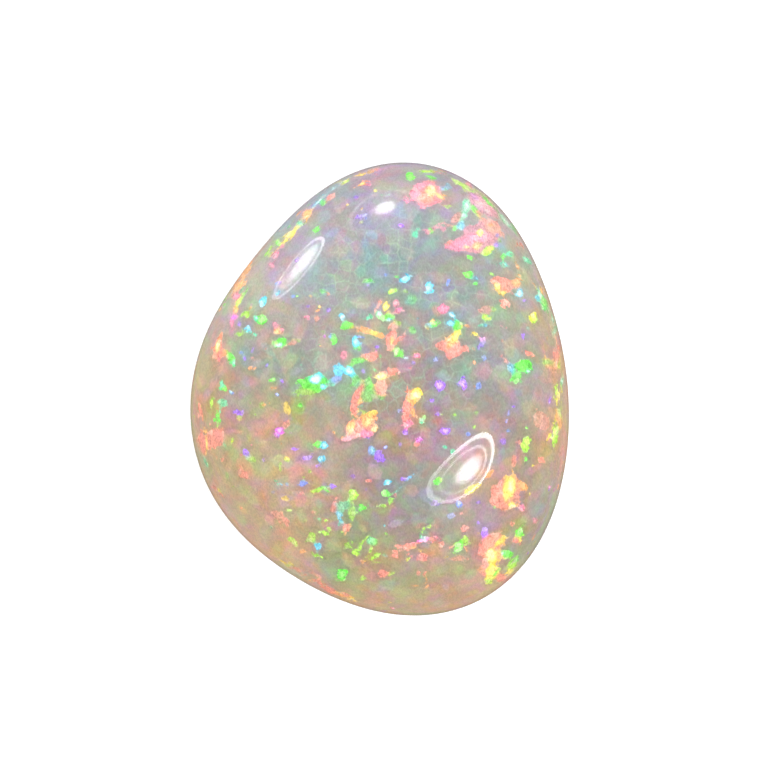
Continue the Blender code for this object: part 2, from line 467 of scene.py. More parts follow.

# %% [markdown]
# The patches of fire on the face are listed one by one, because where they lie is what makes this stone
# itself. A large patch is built up as a painter would: first its widest part, then smaller parts on top, and
# last its pale and bright heart. Each part is an ellipse on the face, as seen from above, with the name of a
# fire colour.

# %% Large patches of fire
PATCHES = {  # colour, across, along, length, width in mm, turn in degrees, strength, how bright its heart is
    "petal below the top": (
        ("rose", 2.3, 9.45, 1.7, 1.35, -20, 0.65, 0.3), ("salmon", 2.25, 9.3, 1.4, 1.0, -15, 0.85, 0.3),
        ("rose", 1.75, 9.45, 0.7, 0.6, 60, 0.85, 0.3), ("orange", 2.5, 9.6, 0.95, 0.75, -35, 0.85, 0.9),
        ("yellow", 2.35, 9.65, 0.45, 0.35, 20, 0.7, 0.9), ("orange", 2.95, 9.35, 0.7, 0.28, -40, 0.85, 0.5),
        ("rose", 1.3, 9.2, 0.4, 0.35, 0, 0.7, 0.5),
    ),
    "pale leaf and rose bank at the top right": (
        ("rose", 5.0, 8.95, 2.0, 0.9, -43, 0.45, 0.9), ("rose", 5.15, 8.9, 1.3, 0.4, -45, 0.75, 1.0),
        ("magenta", 4.6, 9.35, 0.7, 0.3, -40, 0.5, 0.6), ("mint", 4.2, 8.85, 1.1, 0.5, 78, 0.75, 1.0),
        ("green", 4.65, 8.7, 0.7, 0.35, -70, 0.8, 0.2), ("mint", 4.05, 8.4, 0.45, 0.35, 60, 0.8, 1.0),
        ("salmon", 3.7, 8.25, 0.9, 0.5, 40, 0.5, 0.3), ("cyan", 3.95, 7.95, 0.5, 0.35, 35, 0.8, 0.3),
        ("green", 3.7, 7.85, 0.5, 0.2, 55, 0.7, 0.2),
    ),
    "wide rose cloud": (
        ("rose", 4.75, 7.35, 2.4, 1.5, 25, 0.5, 0.3), ("rose", 4.5, 7.2, 1.9, 1.0, 20, 0.85, 0.3),
        ("salmon", 5.45, 7.8, 1.3, 0.75, -42, 0.6, 0.5), ("rose", 3.75, 6.9, 0.95, 0.55, 0, 0.75, 0.2),
        ("orange", 4.75, 7.0, 0.75, 0.5, 20, 0.6, 0.8), ("yellow", 4.85, 7.6, 0.5, 0.45, 0, 0.85, 0.8),
        ("yellow", 4.25, 6.85, 0.4, 0.22, 0, 0.6, 0.6), ("lime", 5.3, 6.75, 0.7, 0.45, 20, 0.95, 0.2),
        ("yellow", 5.4, 6.8, 0.3, 0.25, 0, 0.85, 0.4), ("green", 4.4, 6.4, 0.6, 0.25, 0, 0.9, 0.1),
    ),
    "ember at the right": (
        ("salmon", 6.0, 5.1, 1.4, 0.8, -20, 0.8, 0.1), ("orange", 6.6, 5.15, 0.65, 0.4, 0, 0.7, 0.3),
        ("salmon", 6.05, 4.15, 0.75, 0.5, -40, 0.8, 0.2), ("yellow", 5.7, 5.0, 0.55, 0.3, -60, 0.9, 0.7),
        ("yellow", 6.0, 4.65, 0.25, 0.25, 0, 0.8, 0.5), ("cyan", 6.8, 4.7, 0.5, 0.45, -60, 0.95, 0.8),
    ),
    "top of the column": (
        ("salmon", -0.1, 4.05, 0.65, 0.3, 60, 0.65, 0.2), ("yellow", 0.3, 4.05, 0.65, 0.45, 80, 0.95, 0.7),
        ("rose", 0.75, 4.15, 0.4, 0.3, 0, 0.7, 0.3), ("mint", 0.0, 3.7, 0.4, 0.35, 0, 0.9, 1.0),
        ("green", 0.35, 3.5, 0.8, 0.35, 0, 0.9, 0.2), ("cyan", 0.45, 3.4, 0.25, 0.25, 0, 0.8, 0.6),
        ("rose", 1.05, 3.75, 0.8, 0.25, 5, 0.7, 0.1),
    ),
    "middle of the column": (
        ("orange", -0.7, 2.85, 1.3, 0.4, -20, 0.75, 0.2), ("yellow", -0.35, 2.75, 0.5, 0.25, -20, 0.9, 0.4),
        ("salmon", 0.55, 2.45, 1.2, 0.7, 75, 0.8, 0.1), ("orange", 0.6, 2.4, 0.65, 0.3, 75, 0.9, 0.7),
        ("salmon", 0.65, 3.0, 0.45, 0.3, 0, 0.6, 0.1), ("salmon", 1.15, 2.7, 0.7, 0.2, 70, 0.5, 0.1),
        ("salmon", -0.45, 1.6, 1.0, 0.5, -5, 0.75, 0.2), ("green", 0.8, 1.8, 0.5, 0.4, -50, 0.9, 0.9),
        ("green", 1.05, 1.65, 0.6, 0.35, -50, 0.9, 0.2), ("cyan", 1.3, 1.5, 0.4, 0.25, 40, 0.9, 1.0),
        ("rose", 1.75, 1.6, 0.4, 0.4, 0, 0.9, 0.2),
    ),
    "cyan shell": (
        ("green", -1.1, 1.3, 1.3, 0.4, 16, 0.65, 0.1), ("green", -1.15, 0.4, 0.75, 0.5, 60, 0.5, 0.1),
        ("cyan", -2.0, 0.95, 0.65, 0.75, 0, 0.85, 0.1), ("cyan", -1.5, 0.9, 0.65, 0.6, 0, 0.95, 0.7),
        ("blue", -2.1, 0.45, 0.5, 0.4, 0, 0.6, 0.2), ("violet", -0.8, 0.8, 0.35, 0.3, 0, 0.5, 0.2),
    ),
    "large green wing": (
        ("lime", -3.5, -0.1, 1.3, 0.35, 10, 0.5, 0.1), ("green", -3.75, 0.3, 0.8, 0.5, -15, 0.85, 0.1),
        ("green", -3.1, 0.25, 1.3, 0.95, 15, 0.92, 0.1), ("cyan", -3.1, 0.5, 0.8, 0.5, 22, 1.0, 1.0),
        ("cyan", -2.75, 0.12, 0.4, 0.4, 0, 0.9, 0.4),
    ),
    "lower embers of the column": (
        ("green", -0.5, 0.3, 0.9, 0.5, 85, 0.7, 0.1), ("salmon", 0.05, 0.05, 0.95, 0.62, 62, 0.8, 0.5),
        ("salmon", 0.6, 0.85, 1.05, 0.4, 5, 0.75, 0.1), ("yellow", 0.1, 0.6, 0.55, 0.42, 0, 0.95, 0.9),
    ),
    "red tongue": (
        ("green", -0.6, -0.35, 0.7, 0.6, 30, 0.5, 0.1), ("green", 0.05, -0.35, 0.55, 0.25, 0, 0.45, 0.1),
        ("salmon", -1.12, -0.55, 1.95, 0.45, 73, 0.85, 0.1),
        ("orange", -0.9, -0.6, 0.45, 0.35, 80, 0.85, 0.5), ("lime", -0.75, -1.05, 0.3, 0.25, 0, 0.6, 0.1),
    ),
    "hearth below the middle": (
        ("salmon", -0.85, -1.85, 1.5, 0.9, 40, 0.85, 0.2), ("orange", -0.6, -1.45, 1.0, 0.7, 65, 0.9, 0.3),
        ("rose", -0.7, -2.15, 0.8, 0.55, 10, 0.9, 0.2), ("rose", -1.5, -2.4, 0.75, 0.35, 15, 0.85, 0.1),
        ("yellow", -0.4, -1.15, 0.5, 0.3, 20, 0.9, 0.3), ("orange", -0.5, -1.55, 0.75, 0.5, 65, 0.95, 1.0),
        ("orange", -0.25, -1.9, 0.5, 0.35, 10, 0.9, 1.0), ("orange", -1.4, -1.9, 0.7, 0.5, 80, 0.9, 0.9),
    ),
    "flame right of the middle": (
        ("salmon", 1.35, -0.9, 1.8, 0.45, 84, 0.9, 0.1), ("orange", 1.6, -1.15, 0.6, 0.35, -62, 0.8, 0.2),
        ("rose", 1.4, -1.7, 0.55, 0.4, 0, 0.85, 0.3), ("orange", 1.55, -0.45, 0.65, 0.5, 80, 0.9, 0.2),
        ("yellow", 1.75, -0.3, 0.7, 0.5, 80, 0.95, 1.0),
    ),
    "ember right of the middle": (
        ("salmon", 3.5, 2.05, 1.6, 0.6, -3, 0.75, 0.2), ("salmon", 3.5, 1.75, 0.85, 0.6, 80, 0.75, 0.1),
        ("orange", 3.5, 2.3, 0.9, 0.6, 60, 0.9, 0.5), ("yellow", 3.68, 2.55, 0.75, 0.4, 65, 0.9, 0.5),
        ("orange", 4.25, 3.0, 0.45, 0.2, 0, 0.7, 0.2), ("yellow", 4.65, 2.68, 0.55, 0.32, -20, 0.9, 0.3),
        ("cyan", 3.4, 3.2, 0.45, 0.42, 0, 0.9, 0.3), ("cyan", 3.55, 3.6, 0.5, 0.25, -40, 0.9, 1.0),
        ("green", 3.75, 3.05, 0.55, 0.55, 0, 0.95, 0.1),
    ),
    "campfire at the lower right": (
        ("salmon", 6.15, -5.05, 1.8, 1.45, 62, 0.5, 0.2), ("salmon", 5.75, -5.1, 1.45, 0.7, 68, 0.85, 0.2),
        ("salmon", 6.0, -5.6, 0.95, 0.5, 0, 0.8, 0.1), ("orange", 6.45, -4.85, 1.35, 0.75, 85, 0.9, 0.2),
        ("orange", 6.95, -4.75, 0.7, 0.45, -60, 0.85, 0.2), ("rose", 6.95, -5.75, 0.5, 0.45, 0, 0.8, 0.1),
        ("yellow", 6.2, -4.85, 1.6, 0.65, 85, 0.9, 0.3), ("yellow", 6.4, -4.75, 1.25, 0.6, 88, 0.95, 1.0),
        ("yellow", 6.4, -5.6, 0.5, 0.3, 0, 0.85, 0.4),
    ),
    "tall flame at the lower right": (
        ("salmon", 5.4, -7.55, 1.6, 1.1, 55, 0.7, 0.3), ("salmon", 5.1, -8.5, 0.7, 0.4, 80, 0.6, 0.2),
        ("yellow", 5.85, -7.4, 1.0, 0.35, 50, 0.85, 0.2), ("orange", 5.8, -8.1, 0.6, 0.45, 0, 0.8, 0.2),
        ("yellow", 5.45, -8.1, 0.95, 0.8, 75, 0.95, 1.0), ("yellow", 5.4, -8.85, 1.0, 0.72, 72, 0.95, 0.4),
        ("green", 5.65, -8.95, 0.45, 0.2, 50, 0.85, 0.1), ("lime", 5.3, -9.3, 0.35, 0.25, 0, 0.85, 0.2),
        ("green", 6.15, -8.0, 0.5, 0.4, 0, 0.95, 0.1), ("mint", 6.0, -7.95, 0.2, 0.2, 0, 0.8, 1.0),
        ("lime", 6.4, -8.55, 0.7, 0.35, 55, 0.9, 0.1), ("yellow", 6.3, -8.8, 0.35, 0.25, 40, 0.85, 0.5),
        ("green", 6.55, -8.35, 0.45, 0.2, 30, 0.8, 0.1), ("salmon", 5.95, -9.15, 0.55, 0.45, 20, 0.75, 0.1),
    ),
    "green leaf at the right": (
        ("green", 7.0, 1.1, 0.95, 0.75, 20, 0.9, 0.1), ("green", 6.65, 0.6, 0.8, 0.45, 25, 0.8, 0.1),
        ("cyan", 6.35, 1.05, 0.6, 0.3, -65, 0.7, 0.2), ("mint", 7.15, 0.85, 0.28, 0.22, 0, 0.9, 1.0),
    ),
    "salmon flag on the left rim": (
        ("salmon", -8.05, -2.4, 1.2, 0.95, 50, 0.75, 0.1), ("salmon", -8.6, -2.6, 1.2, 0.5, -80, 0.75, 0.1),
        ("yellow", -8.4, -2.7, 1.2, 0.15, -84, 0.95, 0.5), ("salmon", -6.9, -2.1, 0.75, 0.4, 0, 0.3, 0.1),
    ),
    "window at the lower right": (
        ("lime", 2.95, -4.4, 0.4, 0.3, 50, 0.8, 0.3), ("green", 2.8, -4.55, 0.55, 0.4, 50, 0.95, 0.1),
        ("yellow", 4.45, -4.85, 0.95, 0.4, 28, 0.9, 0.3), ("violet", 2.65, -5.55, 0.75, 0.4, 0, 0.45, 0.6),
    ),
    "lime sprays below the middle": (
        ("lime", -1.3, -5.15, 0.7, 0.45, 70, 0.92, 0.3), ("mint", -1.75, -5.65, 0.75, 0.5, 50, 0.5, 0.2),
        ("cyan", -1.95, -6.15, 0.7, 0.28, -68, 0.75, 0.4), ("lime", -1.35, -6.0, 0.75, 0.32, 84, 0.65, 0.2),
        ("green", -0.85, -5.75, 0.65, 0.35, 38, 0.85, 0.2), ("lime", -3.3, -7.2, 0.6, 0.5, 40, 0.65, 0.2),
        ("cyan", -3.0, -7.7, 0.5, 0.38, 80, 0.95, 0.2), ("lime", -4.2, -7.4, 0.55, 0.32, -20, 0.7, 0.5),
        ("lime", -3.05, -8.1, 0.55, 0.22, -22, 0.85, 0.1), ("lime", -1.55, -7.6, 0.65, 0.28, 45, 0.65, 0.1),
    ),
    "ember line at the bottom": (
        ("salmon", 0.9, -7.6, 0.65, 0.28, 0, 0.8, 0.1), ("salmon", 1.4, -7.65, 0.65, 0.22, 20, 0.8, 0.2),
        ("salmon", 1.8, -7.5, 1.15, 0.2, 22, 0.85, 0.1), ("magenta", 2.1, -7.3, 0.55, 0.2, 12, 0.9, 0.8),
        ("salmon", 2.5, -7.3, 0.45, 0.25, 0, 0.75, 0.1), ("salmon", 0.75, -8.0, 0.45, 0.35, -50, 0.75, 0.1),
    ),
    "bottom rim": (
        ("salmon", -4.1, -8.7, 0.75, 0.2, -15, 0.6, 0.1),
        ("salmon", -2.95, -9.25, 0.45, 0.3, -60, 0.7, 0.2),
        ("salmon", -2.45, -9.65, 0.9, 0.35, -35, 0.8, 0.1),
        ("orange", -2.0, -9.95, 0.8, 0.2, -28, 0.9, 0.5), ("salmon", -1.7, -10.0, 0.35, 0.25, 0, 0.7, 0.1),
        ("yellow", -1.35, -10.2, 0.6, 0.15, -8, 0.9, 0.5),
    ),
    "haze on the right rim": (
        ("salmon", 7.85, -1.5, 1.2, 0.85, -60, 0.38, 0.1), ("orange", 8.7, -1.5, 0.85, 0.3, -78, 0.65, 0.2),
        ("salmon", 8.2, 0.6, 1.1, 0.8, 0, 0.22, 0.1), ("salmon", 8.8, -3.55, 1.55, 0.25, 82, 0.35, 0.1),
    ),
    "leaf and embers on the left rim": (
        ("salmon", -7.85, 1.95, 1.45, 0.45, 78, 0.85, 0.1), ("orange", -7.85, 2.15, 0.9, 0.3, 76, 0.9, 0.8),
        ("green", -7.2, 1.5, 0.7, 0.35, -62, 0.85, 0.2), ("mint", -7.1, 1.3, 0.3, 0.25, 0, 0.9, 0.9),
        ("rose", -6.9, 4.5, 0.5, 0.45, 0, 0.8, 0.2), ("orange", -6.8, 5.05, 1.0, 0.35, 50, 0.8, 0.4),
        ("orange", -6.45, 5.85, 1.05, 0.3, 55, 0.7, 0.3), ("orange", -7.0, 3.85, 0.45, 0.3, 70, 0.8, 0.8),
        ("lime", -6.55, 3.6, 0.5, 0.35, 30, 0.85, 0.2), ("rose", -7.2, 3.2, 0.6, 0.3, 80, 0.8, 0.2),
    ),
    "painted glint and bright lines near the rim": (
        # The first line, the long cyan one with a full pale heart, is a painted highlight: a reflection of
        # light along the rim, not fire.
        ("cyan", -2.8, 9.25, 1.7, 0.2, 41, 0.7, 1.0), ("mint", 6.1, 8.15, 1.1, 0.2, -54, 0.6, 1.0),
        ("salmon", 8.58, 1.35, 0.75, 0.2, 84, 0.8, 1.0), ("mint", 7.85, 4.5, 0.9, 0.3, -72, 0.8, 1.0),
        ("salmon", 8.52, 2.4, 1.3, 0.15, -79, 0.6, 1.0), ("mint", 8.38, 3.35, 0.6, 0.15, -75, 0.8, 1.0),
        ("mint", 8.46, 2.75, 0.5, 0.2, 80, 0.7, 0.8), ("orange", 8.16, 1.25, 0.6, 0.2, -72, 0.7, 0.8),
        ("mint", 8.85, 0.4, 0.5, 0.16, -82, 0.8, 1.0), ("yellow", 8.72, -0.3, 0.65, 0.28, 80, 0.85, 0.6),
        ("lime", -5.3, 6.75, 1.0, 0.2, 47, 0.6, 0.3),
    ),
    "grains at the left": (
        ("green", -5.7, 3.4, 0.65, 0.6, 80, 0.9, 0.1), ("cyan", -5.7, 4.25, 0.6, 0.45, 70, 0.9, 0.1),
        ("green", -4.85, 2.3, 0.85, 0.5, 15, 0.9, 0.1), ("mint", -4.95, 2.15, 0.55, 0.25, 10, 0.95, 1.0),
        ("salmon", -4.25, 2.2, 0.65, 0.25, 15, 0.5, 0.1), ("orange", -4.95, 2.85, 0.7, 0.28, 40, 0.9, 0.6),
    ),
}
print(len(PATCHES), "large patches of", sum(len(parts) for parts in PATCHES.values()), "parts")

# %% [markdown]
# Small sparks need only one ellipse each. They are kept by colour, and the brightest get a pale heart.

# %% Small sparks of fire
SPARKS = {  # across, along, length, width in mm, turn in degrees, strength
    "violet": (
        (-1.15, 9.35, 0.4, 0.25, 0, 0.5), (-1.05, 8.2, 0.45, 0.25, 70, 0.65),
        (1.0, 7.85, 0.3, 0.2, 0, 0.95), (5.65, 7.0, 0.3, 0.25, 0, 0.9), (5.65, 7.45, 0.25, 0.25, 0, 0.5),
        (-4.05, 6.35, 0.4, 0.2, 0, 0.45), (-6.8, 3.15, 0.3, 0.25, 0, 0.6),
        (-6.55, 1.5, 0.45, 0.25, 65, 0.75), (-6.15, 1.85, 0.3, 0.25, 0, 0.45),
        (-3.5, 3.95, 0.3, 0.25, 0, 0.5), (-3.05, 4.25, 0.25, 0.2, 0, 0.6),
        (-4.75, 0.35, 0.25, 0.2, 0, 0.85), (-0.55, 5.0, 0.25, 0.2, 0, 0.95),
        (-0.15, 2.05, 0.4, 0.25, 0, 0.75), (-2.5, 3.9, 0.25, 0.25, 0, 0.5), (7.0, 4.3, 0.3, 0.25, 0, 0.7),
        (4.95, 2.1, 0.55, 0.4, 50, 0.5), (7.0, 2.6, 0.35, 0.3, 0, 0.7), (2.55, -0.6, 0.45, 0.35, 40, 0.85),
        (2.8, -1.15, 0.25, 0.25, 0, 0.7), (3.15, -2.05, 0.45, 0.35, 0, 0.95),
        (1.25, -2.15, 0.35, 0.3, 0, 0.9), (-7.0, -1.15, 0.45, 0.3, 0, 0.8), (-6.7, -1.15, 0.2, 0.2, 0, 0.6),
        (-6.5, -3.1, 0.45, 0.25, -55, 0.85), (-5.6, -3.4, 0.2, 0.2, 0, 0.8),
        (-4.1, -2.95, 0.35, 0.2, 0, 0.75), (-3.5, -3.3, 0.6, 0.35, 15, 0.8),
        (-2.95, -3.7, 0.25, 0.25, 0, 0.5), (0.0, -3.3, 0.75, 0.6, 40, 0.8),
        (-2.3, -4.75, 0.45, 0.25, 0, 0.8), (-1.3, -4.15, 0.25, 0.2, 0, 0.45),
        (1.2, -4.35, 0.45, 0.3, 20, 0.75), (-0.6, -2.4, 0.3, 0.25, 0, 0.5),
        (5.95, -2.6, 0.5, 0.35, 80, 0.55), (6.45, -0.95, 0.3, 0.2, 45, 0.85),
        (8.2, -0.55, 0.35, 0.2, 80, 0.6), (5.1, -6.95, 0.5, 0.45, 60, 0.85), (4.8, -6.55, 0.2, 0.2, 0, 0.5),
        (4.8, -5.5, 0.35, 0.25, 0, 0.45), (2.9, 0.2, 0.65, 0.55, 80, 0.95),
        (4.05, 0.25, 0.65, 0.6, 0, 0.95),
    ),
    "blue": (
        (-0.7, 8.3, 0.35, 0.2, 80, 0.8), (0.4, 5.55, 0.3, 0.2, 0, 0.5), (-6.8, 1.75, 0.4, 0.3, 0, 0.5),
        (-4.15, 4.5, 0.3, 0.25, 0, 0.5), (-2.45, 2.5, 0.3, 0.25, 0, 0.7), (-0.8, 2.45, 0.3, 0.25, 0, 0.5),
        (2.75, 1.45, 0.3, 0.25, 0, 0.55), (4.8, 0.15, 0.45, 0.25, 60, 0.65), (5.1, 1.55, 0.4, 0.3, 0, 0.5),
        (3.3, 5.05, 0.45, 0.25, 70, 0.75), (-3.75, -4.6, 0.55, 0.3, 10, 0.8),
        (3.85, -5.55, 0.4, 0.3, 0, 0.95), (3.45, -6.15, 0.4, 0.25, 30, 0.55),
        (4.3, -2.2, 0.35, 0.3, 0, 0.65), (6.3, -1.2, 0.25, 0.2, 45, 0.5), (0.9, -1.1, 0.2, 0.2, 0, 0.6),
    ),
    "cyan": (
        (3.25, 9.8, 0.45, 0.3, 0, 0.45), (-4.95, 4.6, 0.35, 0.3, 0, 0.65), (-6.4, 2.95, 0.35, 0.3, 0, 0.95),
        (-1.85, 3.45, 0.5, 0.4, 0, 0.95), (-1.15, 2.25, 0.5, 0.45, 0, 0.97),
        (1.25, 5.35, 0.7, 0.45, 20, 0.92), (2.4, 4.95, 0.65, 0.5, 80, 0.93), (2.4, 3.1, 0.3, 0.25, 0, 0.6),
        (5.15, 3.1, 0.25, 0.2, 0, 0.6), (5.95, 6.05, 0.25, 0.2, 0, 0.95), (4.7, 5.4, 0.3, 0.25, 0, 0.45),
        (-2.65, -2.75, 0.5, 0.45, 20, 0.98), (-2.85, -3.35, 0.45, 0.45, 0, 0.95),
        (0.4, -4.6, 0.5, 0.3, 10, 0.97), (1.4, -4.35, 0.75, 0.1, 47, 0.85), (7.7, 4.45, 0.3, 0.25, 0, 0.75),
    ),
    "mint": (
        (-3.9, 8.05, 0.35, 0.25, 0, 0.8), (0.45, 9.5, 0.85, 0.2, 15, 0.5), (1.8, 7.55, 0.9, 0.3, 80, 0.7),
        (6.0, 6.0, 0.55, 0.3, 0, 0.45), (6.3, 6.5, 0.35, 0.25, 0, 0.8), (7.1, 6.3, 0.45, 0.2, -60, 0.97),
        (7.3, 6.15, 0.3, 0.2, 0, 0.6), (4.9, 3.1, 0.4, 0.25, 0, 0.5), (-7.65, 0.2, 0.45, 0.25, 80, 0.85),
        (-6.05, 2.65, 0.25, 0.15, 0, 0.85), (-3.8, 1.15, 0.4, 0.15, -50, 0.5),
        (-0.6, 3.5, 0.4, 0.3, 0, 0.85), (-6.0, 3.45, 0.35, 0.3, 0, 0.98), (2.1, -1.6, 0.3, 0.25, 0, 0.75),
        (3.15, -2.8, 0.3, 0.2, 40, 0.85), (3.55, -3.0, 0.25, 0.2, 0, 0.7),
        (-7.65, -0.75, 0.5, 0.4, -20, 0.75), (-7.8, -1.05, 0.3, 0.15, 80, 0.9),
        (-8.5, -3.5, 0.7, 0.2, -70, 0.6), (-2.1, -6.7, 0.4, 0.15, 45, 0.6),
        (-7.55, -2.65, 0.3, 0.15, -50, 0.7), (-4.95, -4.6, 0.3, 0.2, -40, 0.7),
        (-5.3, -6.75, 0.2, 0.15, 0, 0.75), (-5.65, 4.3, 0.25, 0.2, 0, 0.9), (-3.15, 1.1, 0.3, 0.2, 0, 0.5),
        (-2.3, 0.2, 0.35, 0.2, 0, 0.5),
    ),
    "green": (
        (-4.95, 7.05, 0.45, 0.3, 50, 0.9), (-3.1, 7.8, 0.5, 0.25, 45, 0.9), (-2.8, 9.05, 0.3, 0.25, 0, 0.7),
        (1.5, 10.3, 0.6, 0.35, 10, 0.95), (2.5, 10.3, 0.55, 0.25, -10, 0.85),
        (0.8, 5.5, 0.4, 0.25, 0, 0.65), (5.25, 9.1, 1.3, 0.24, -45, 0.85),
        (4.25, 5.6, 0.5, 0.35, -35, 0.95), (5.95, 6.35, 0.4, 0.3, 80, 0.9),
        (6.5, 7.8, 0.45, 0.15, -50, 0.5), (4.65, 5.1, 0.4, 0.25, 0, 0.8), (7.95, 4.25, 0.7, 0.3, -75, 0.95),
        (-6.5, 4.75, 0.45, 0.2, 60, 0.45), (-7.4, 4.3, 0.45, 0.15, 55, 0.6), (-7.5, 0.0, 0.4, 0.25, 0, 0.9),
        (-5.15, 0.45, 0.4, 0.3, 0, 0.98), (-1.55, 3.1, 0.75, 0.4, 15, 0.85),
        (-2.25, 2.4, 0.5, 0.45, 0, 0.85), (2.65, 3.15, 0.6, 0.3, 15, 0.95),
        (-0.55, 5.2, 0.45, 0.25, 0, 0.6), (-1.0, 1.9, 0.5, 0.25, 0, 0.6), (-3.85, -0.85, 0.4, 0.3, 85, 0.9),
        (-7.9, -1.4, 1.05, 0.34, -86, 0.85), (-3.05, -2.7, 0.5, 0.45, 0, 0.85),
        (-2.6, -4.9, 0.45, 0.2, -20, 0.8), (0.25, -5.05, 0.5, 0.4, 0, 0.95),
        (2.25, -1.3, 0.25, 0.2, 0, 0.75), (3.85, -7.7, 0.65, 0.55, 60, 0.97),
        (6.85, -6.95, 0.65, 0.45, 45, 0.95), (7.1, -3.3, 0.4, 0.3, 60, 0.85),
        (-1.85, -9.05, 0.7, 0.55, 40, 0.97), (5.55, -5.8, 0.3, 0.2, 80, 0.6),
        (-2.75, 4.75, 0.3, 0.2, 0, 0.45), (1.55, 2.85, 0.4, 0.3, -40, 0.5), (5.4, 3.8, 0.35, 0.2, 30, 0.5),
    ),
    "lime": (
        (2.35, 10.6, 0.5, 0.2, 0, 0.97), (3.25, 8.9, 0.35, 0.2, 0, 0.5), (4.0, 9.85, 1.1, 0.26, -34, 0.85),
        (4.5, 9.6, 0.4, 0.2, 0, 0.65), (5.85, 7.25, 0.25, 0.25, 0, 0.45),
        (-6.75, 4.25, 0.45, 0.25, 65, 0.9), (-6.85, 2.65, 0.35, 0.25, 0, 0.8),
        (0.6, 4.75, 0.55, 0.3, 0, 0.9), (1.25, 4.7, 0.4, 0.3, 0, 0.55), (0.9, 3.15, 0.35, 0.3, 0, 0.5),
        (5.2, 3.45, 0.5, 0.35, 0, 0.95), (7.5, 3.4, 0.55, 0.4, 80, 0.9), (8.15, 1.3, 0.55, 0.3, 0, 0.5),
        (8.6, -0.15, 0.55, 0.25, 80, 0.9), (8.8, -1.1, 0.4, 0.15, -80, 0.6),
        (8.5, -2.1, 1.3, 0.35, 80, 0.95), (7.1, -2.6, 0.75, 0.5, 85, 0.92),
        (-8.15, -0.7, 0.4, 0.25, 88, 0.9), (-7.15, -2.45, 0.35, 0.15, 85, 0.55),
        (-6.15, -3.4, 0.5, 0.3, 0, 0.45), (-4.85, -3.85, 0.5, 0.2, -85, 0.6),
        (-3.7, -4.25, 0.3, 0.25, 0, 0.6), (-3.0, -4.95, 0.55, 0.18, 20, 0.9),
        (0.55, -5.3, 0.4, 0.15, 50, 0.75), (0.15, -5.6, 0.5, 0.16, 15, 0.85),
        (-4.3, -5.85, 0.4, 0.15, 15, 0.9), (-2.75, -7.0, 0.55, 0.18, -25, 0.85),
        (-2.6, -6.4, 0.25, 0.25, 0, 0.85), (-2.45, -6.8, 0.2, 0.2, 0, 0.6),
        (-1.85, -7.0, 0.25, 0.2, 0, 0.7), (-2.3, -7.7, 0.45, 0.16, -20, 0.8),
        (-1.2, -7.8, 0.6, 0.16, 62, 0.9), (-0.95, -7.7, 0.55, 0.16, 62, 0.85),
        (-0.5, -7.9, 0.5, 0.16, 60, 0.85), (-0.15, -8.05, 0.5, 0.16, 56, 0.85),
        (-0.6, -7.3, 0.45, 0.18, 50, 0.85), (0.05, -7.85, 0.35, 0.15, 50, 0.7),
        (-0.1, -8.4, 0.3, 0.15, 0, 0.5), (-0.85, -9.2, 0.3, 0.25, 0, 0.6),
        (2.35, -6.75, 0.55, 0.25, 25, 0.85), (4.25, -7.4, 0.65, 0.4, 80, 0.75),
        (0.6, -8.95, 0.3, 0.15, 60, 0.6), (-4.45, -8.55, 0.3, 0.15, 0, 0.5), (3.0, -1.15, 0.2, 0.2, 0, 0.6),
        (3.6, -1.25, 0.2, 0.15, 0, 0.6), (-6.05, -1.2, 0.2, 0.15, 0, 0.6), (8.7, 1.15, 0.4, 0.15, 80, 0.7),
        (-6.75, 2.75, 0.25, 0.2, 0, 0.5), (-3.95, 2.3, 0.3, 0.2, 0, 0.5), (-5.1, 2.2, 0.25, 0.2, 0, 0.7),
    ),
    "yellow": (
        (-4.35, 7.5, 1.2, 0.4, 47, 0.92), (-1.1, 10.35, 1.3, 0.15, 18, 0.7),
        (7.45, 3.5, 0.55, 0.35, 80, 1.0), (-4.5, -1.0, 0.8, 0.25, -66, 0.55),
        (-4.6, -5.35, 0.4, 0.25, 0, 0.65), (8.25, -2.4, 0.5, 0.15, 80, 0.7),
        (6.8, -7.25, 0.25, 0.25, 0, 0.85), (-4.65, -8.4, 0.4, 0.15, -10, 0.8),
        (2.0, -7.85, 0.45, 0.1, -20, 0.9), (3.25, -8.1, 0.2, 0.15, 0, 0.5), (2.35, 2.9, 0.2, 0.15, 0, 0.7),
    ),
    "orange": (
        (-3.5, 8.5, 0.8, 0.4, 40, 0.9), (-0.9, 9.9, 0.55, 0.3, 20, 0.95), (5.4, 7.95, 0.35, 0.25, 0, 0.75),
        (5.85, 7.6, 0.45, 0.15, -60, 0.55), (6.7, 5.85, 0.65, 0.2, -75, 0.6),
        (7.9, 4.75, 0.55, 0.2, -65, 0.9), (-6.25, 0.95, 0.45, 0.2, 0, 0.6), (-5.2, 0.1, 0.3, 0.2, 0, 0.5),
        (-3.1, 3.85, 0.35, 0.25, 0, 0.8), (0.1, 2.65, 0.35, 0.25, 0, 0.8),
        (-1.75, -1.2, 0.8, 0.1, -18, 0.6), (-5.55, -0.7, 0.45, 0.15, 0, 0.5),
        (5.35, -2.35, 0.35, 0.25, -20, 0.85), (5.3, -4.1, 0.65, 0.25, 20, 0.8),
        (-3.7, -7.9, 0.3, 0.2, 0, 0.65), (-3.45, -9.25, 0.65, 0.15, -30, 0.65),
        (-0.75, -8.4, 0.55, 0.15, -25, 0.5), (2.25, -9.4, 0.35, 0.15, 80, 0.6),
        (1.9, -9.6, 0.55, 0.1, 0, 0.5), (-2.2, -2.1, 0.15, 0.15, 0, 0.6), (4.8, -8.75, 0.2, 0.2, 0, 0.5),
        (-7.55, 1.75, 0.3, 0.2, 0, 0.6), (4.8, 8.5, 0.4, 0.2, -45, 0.55),
        (7.35, 5.35, 0.45, 0.15, -70, 0.5),
    ),
    "salmon": (
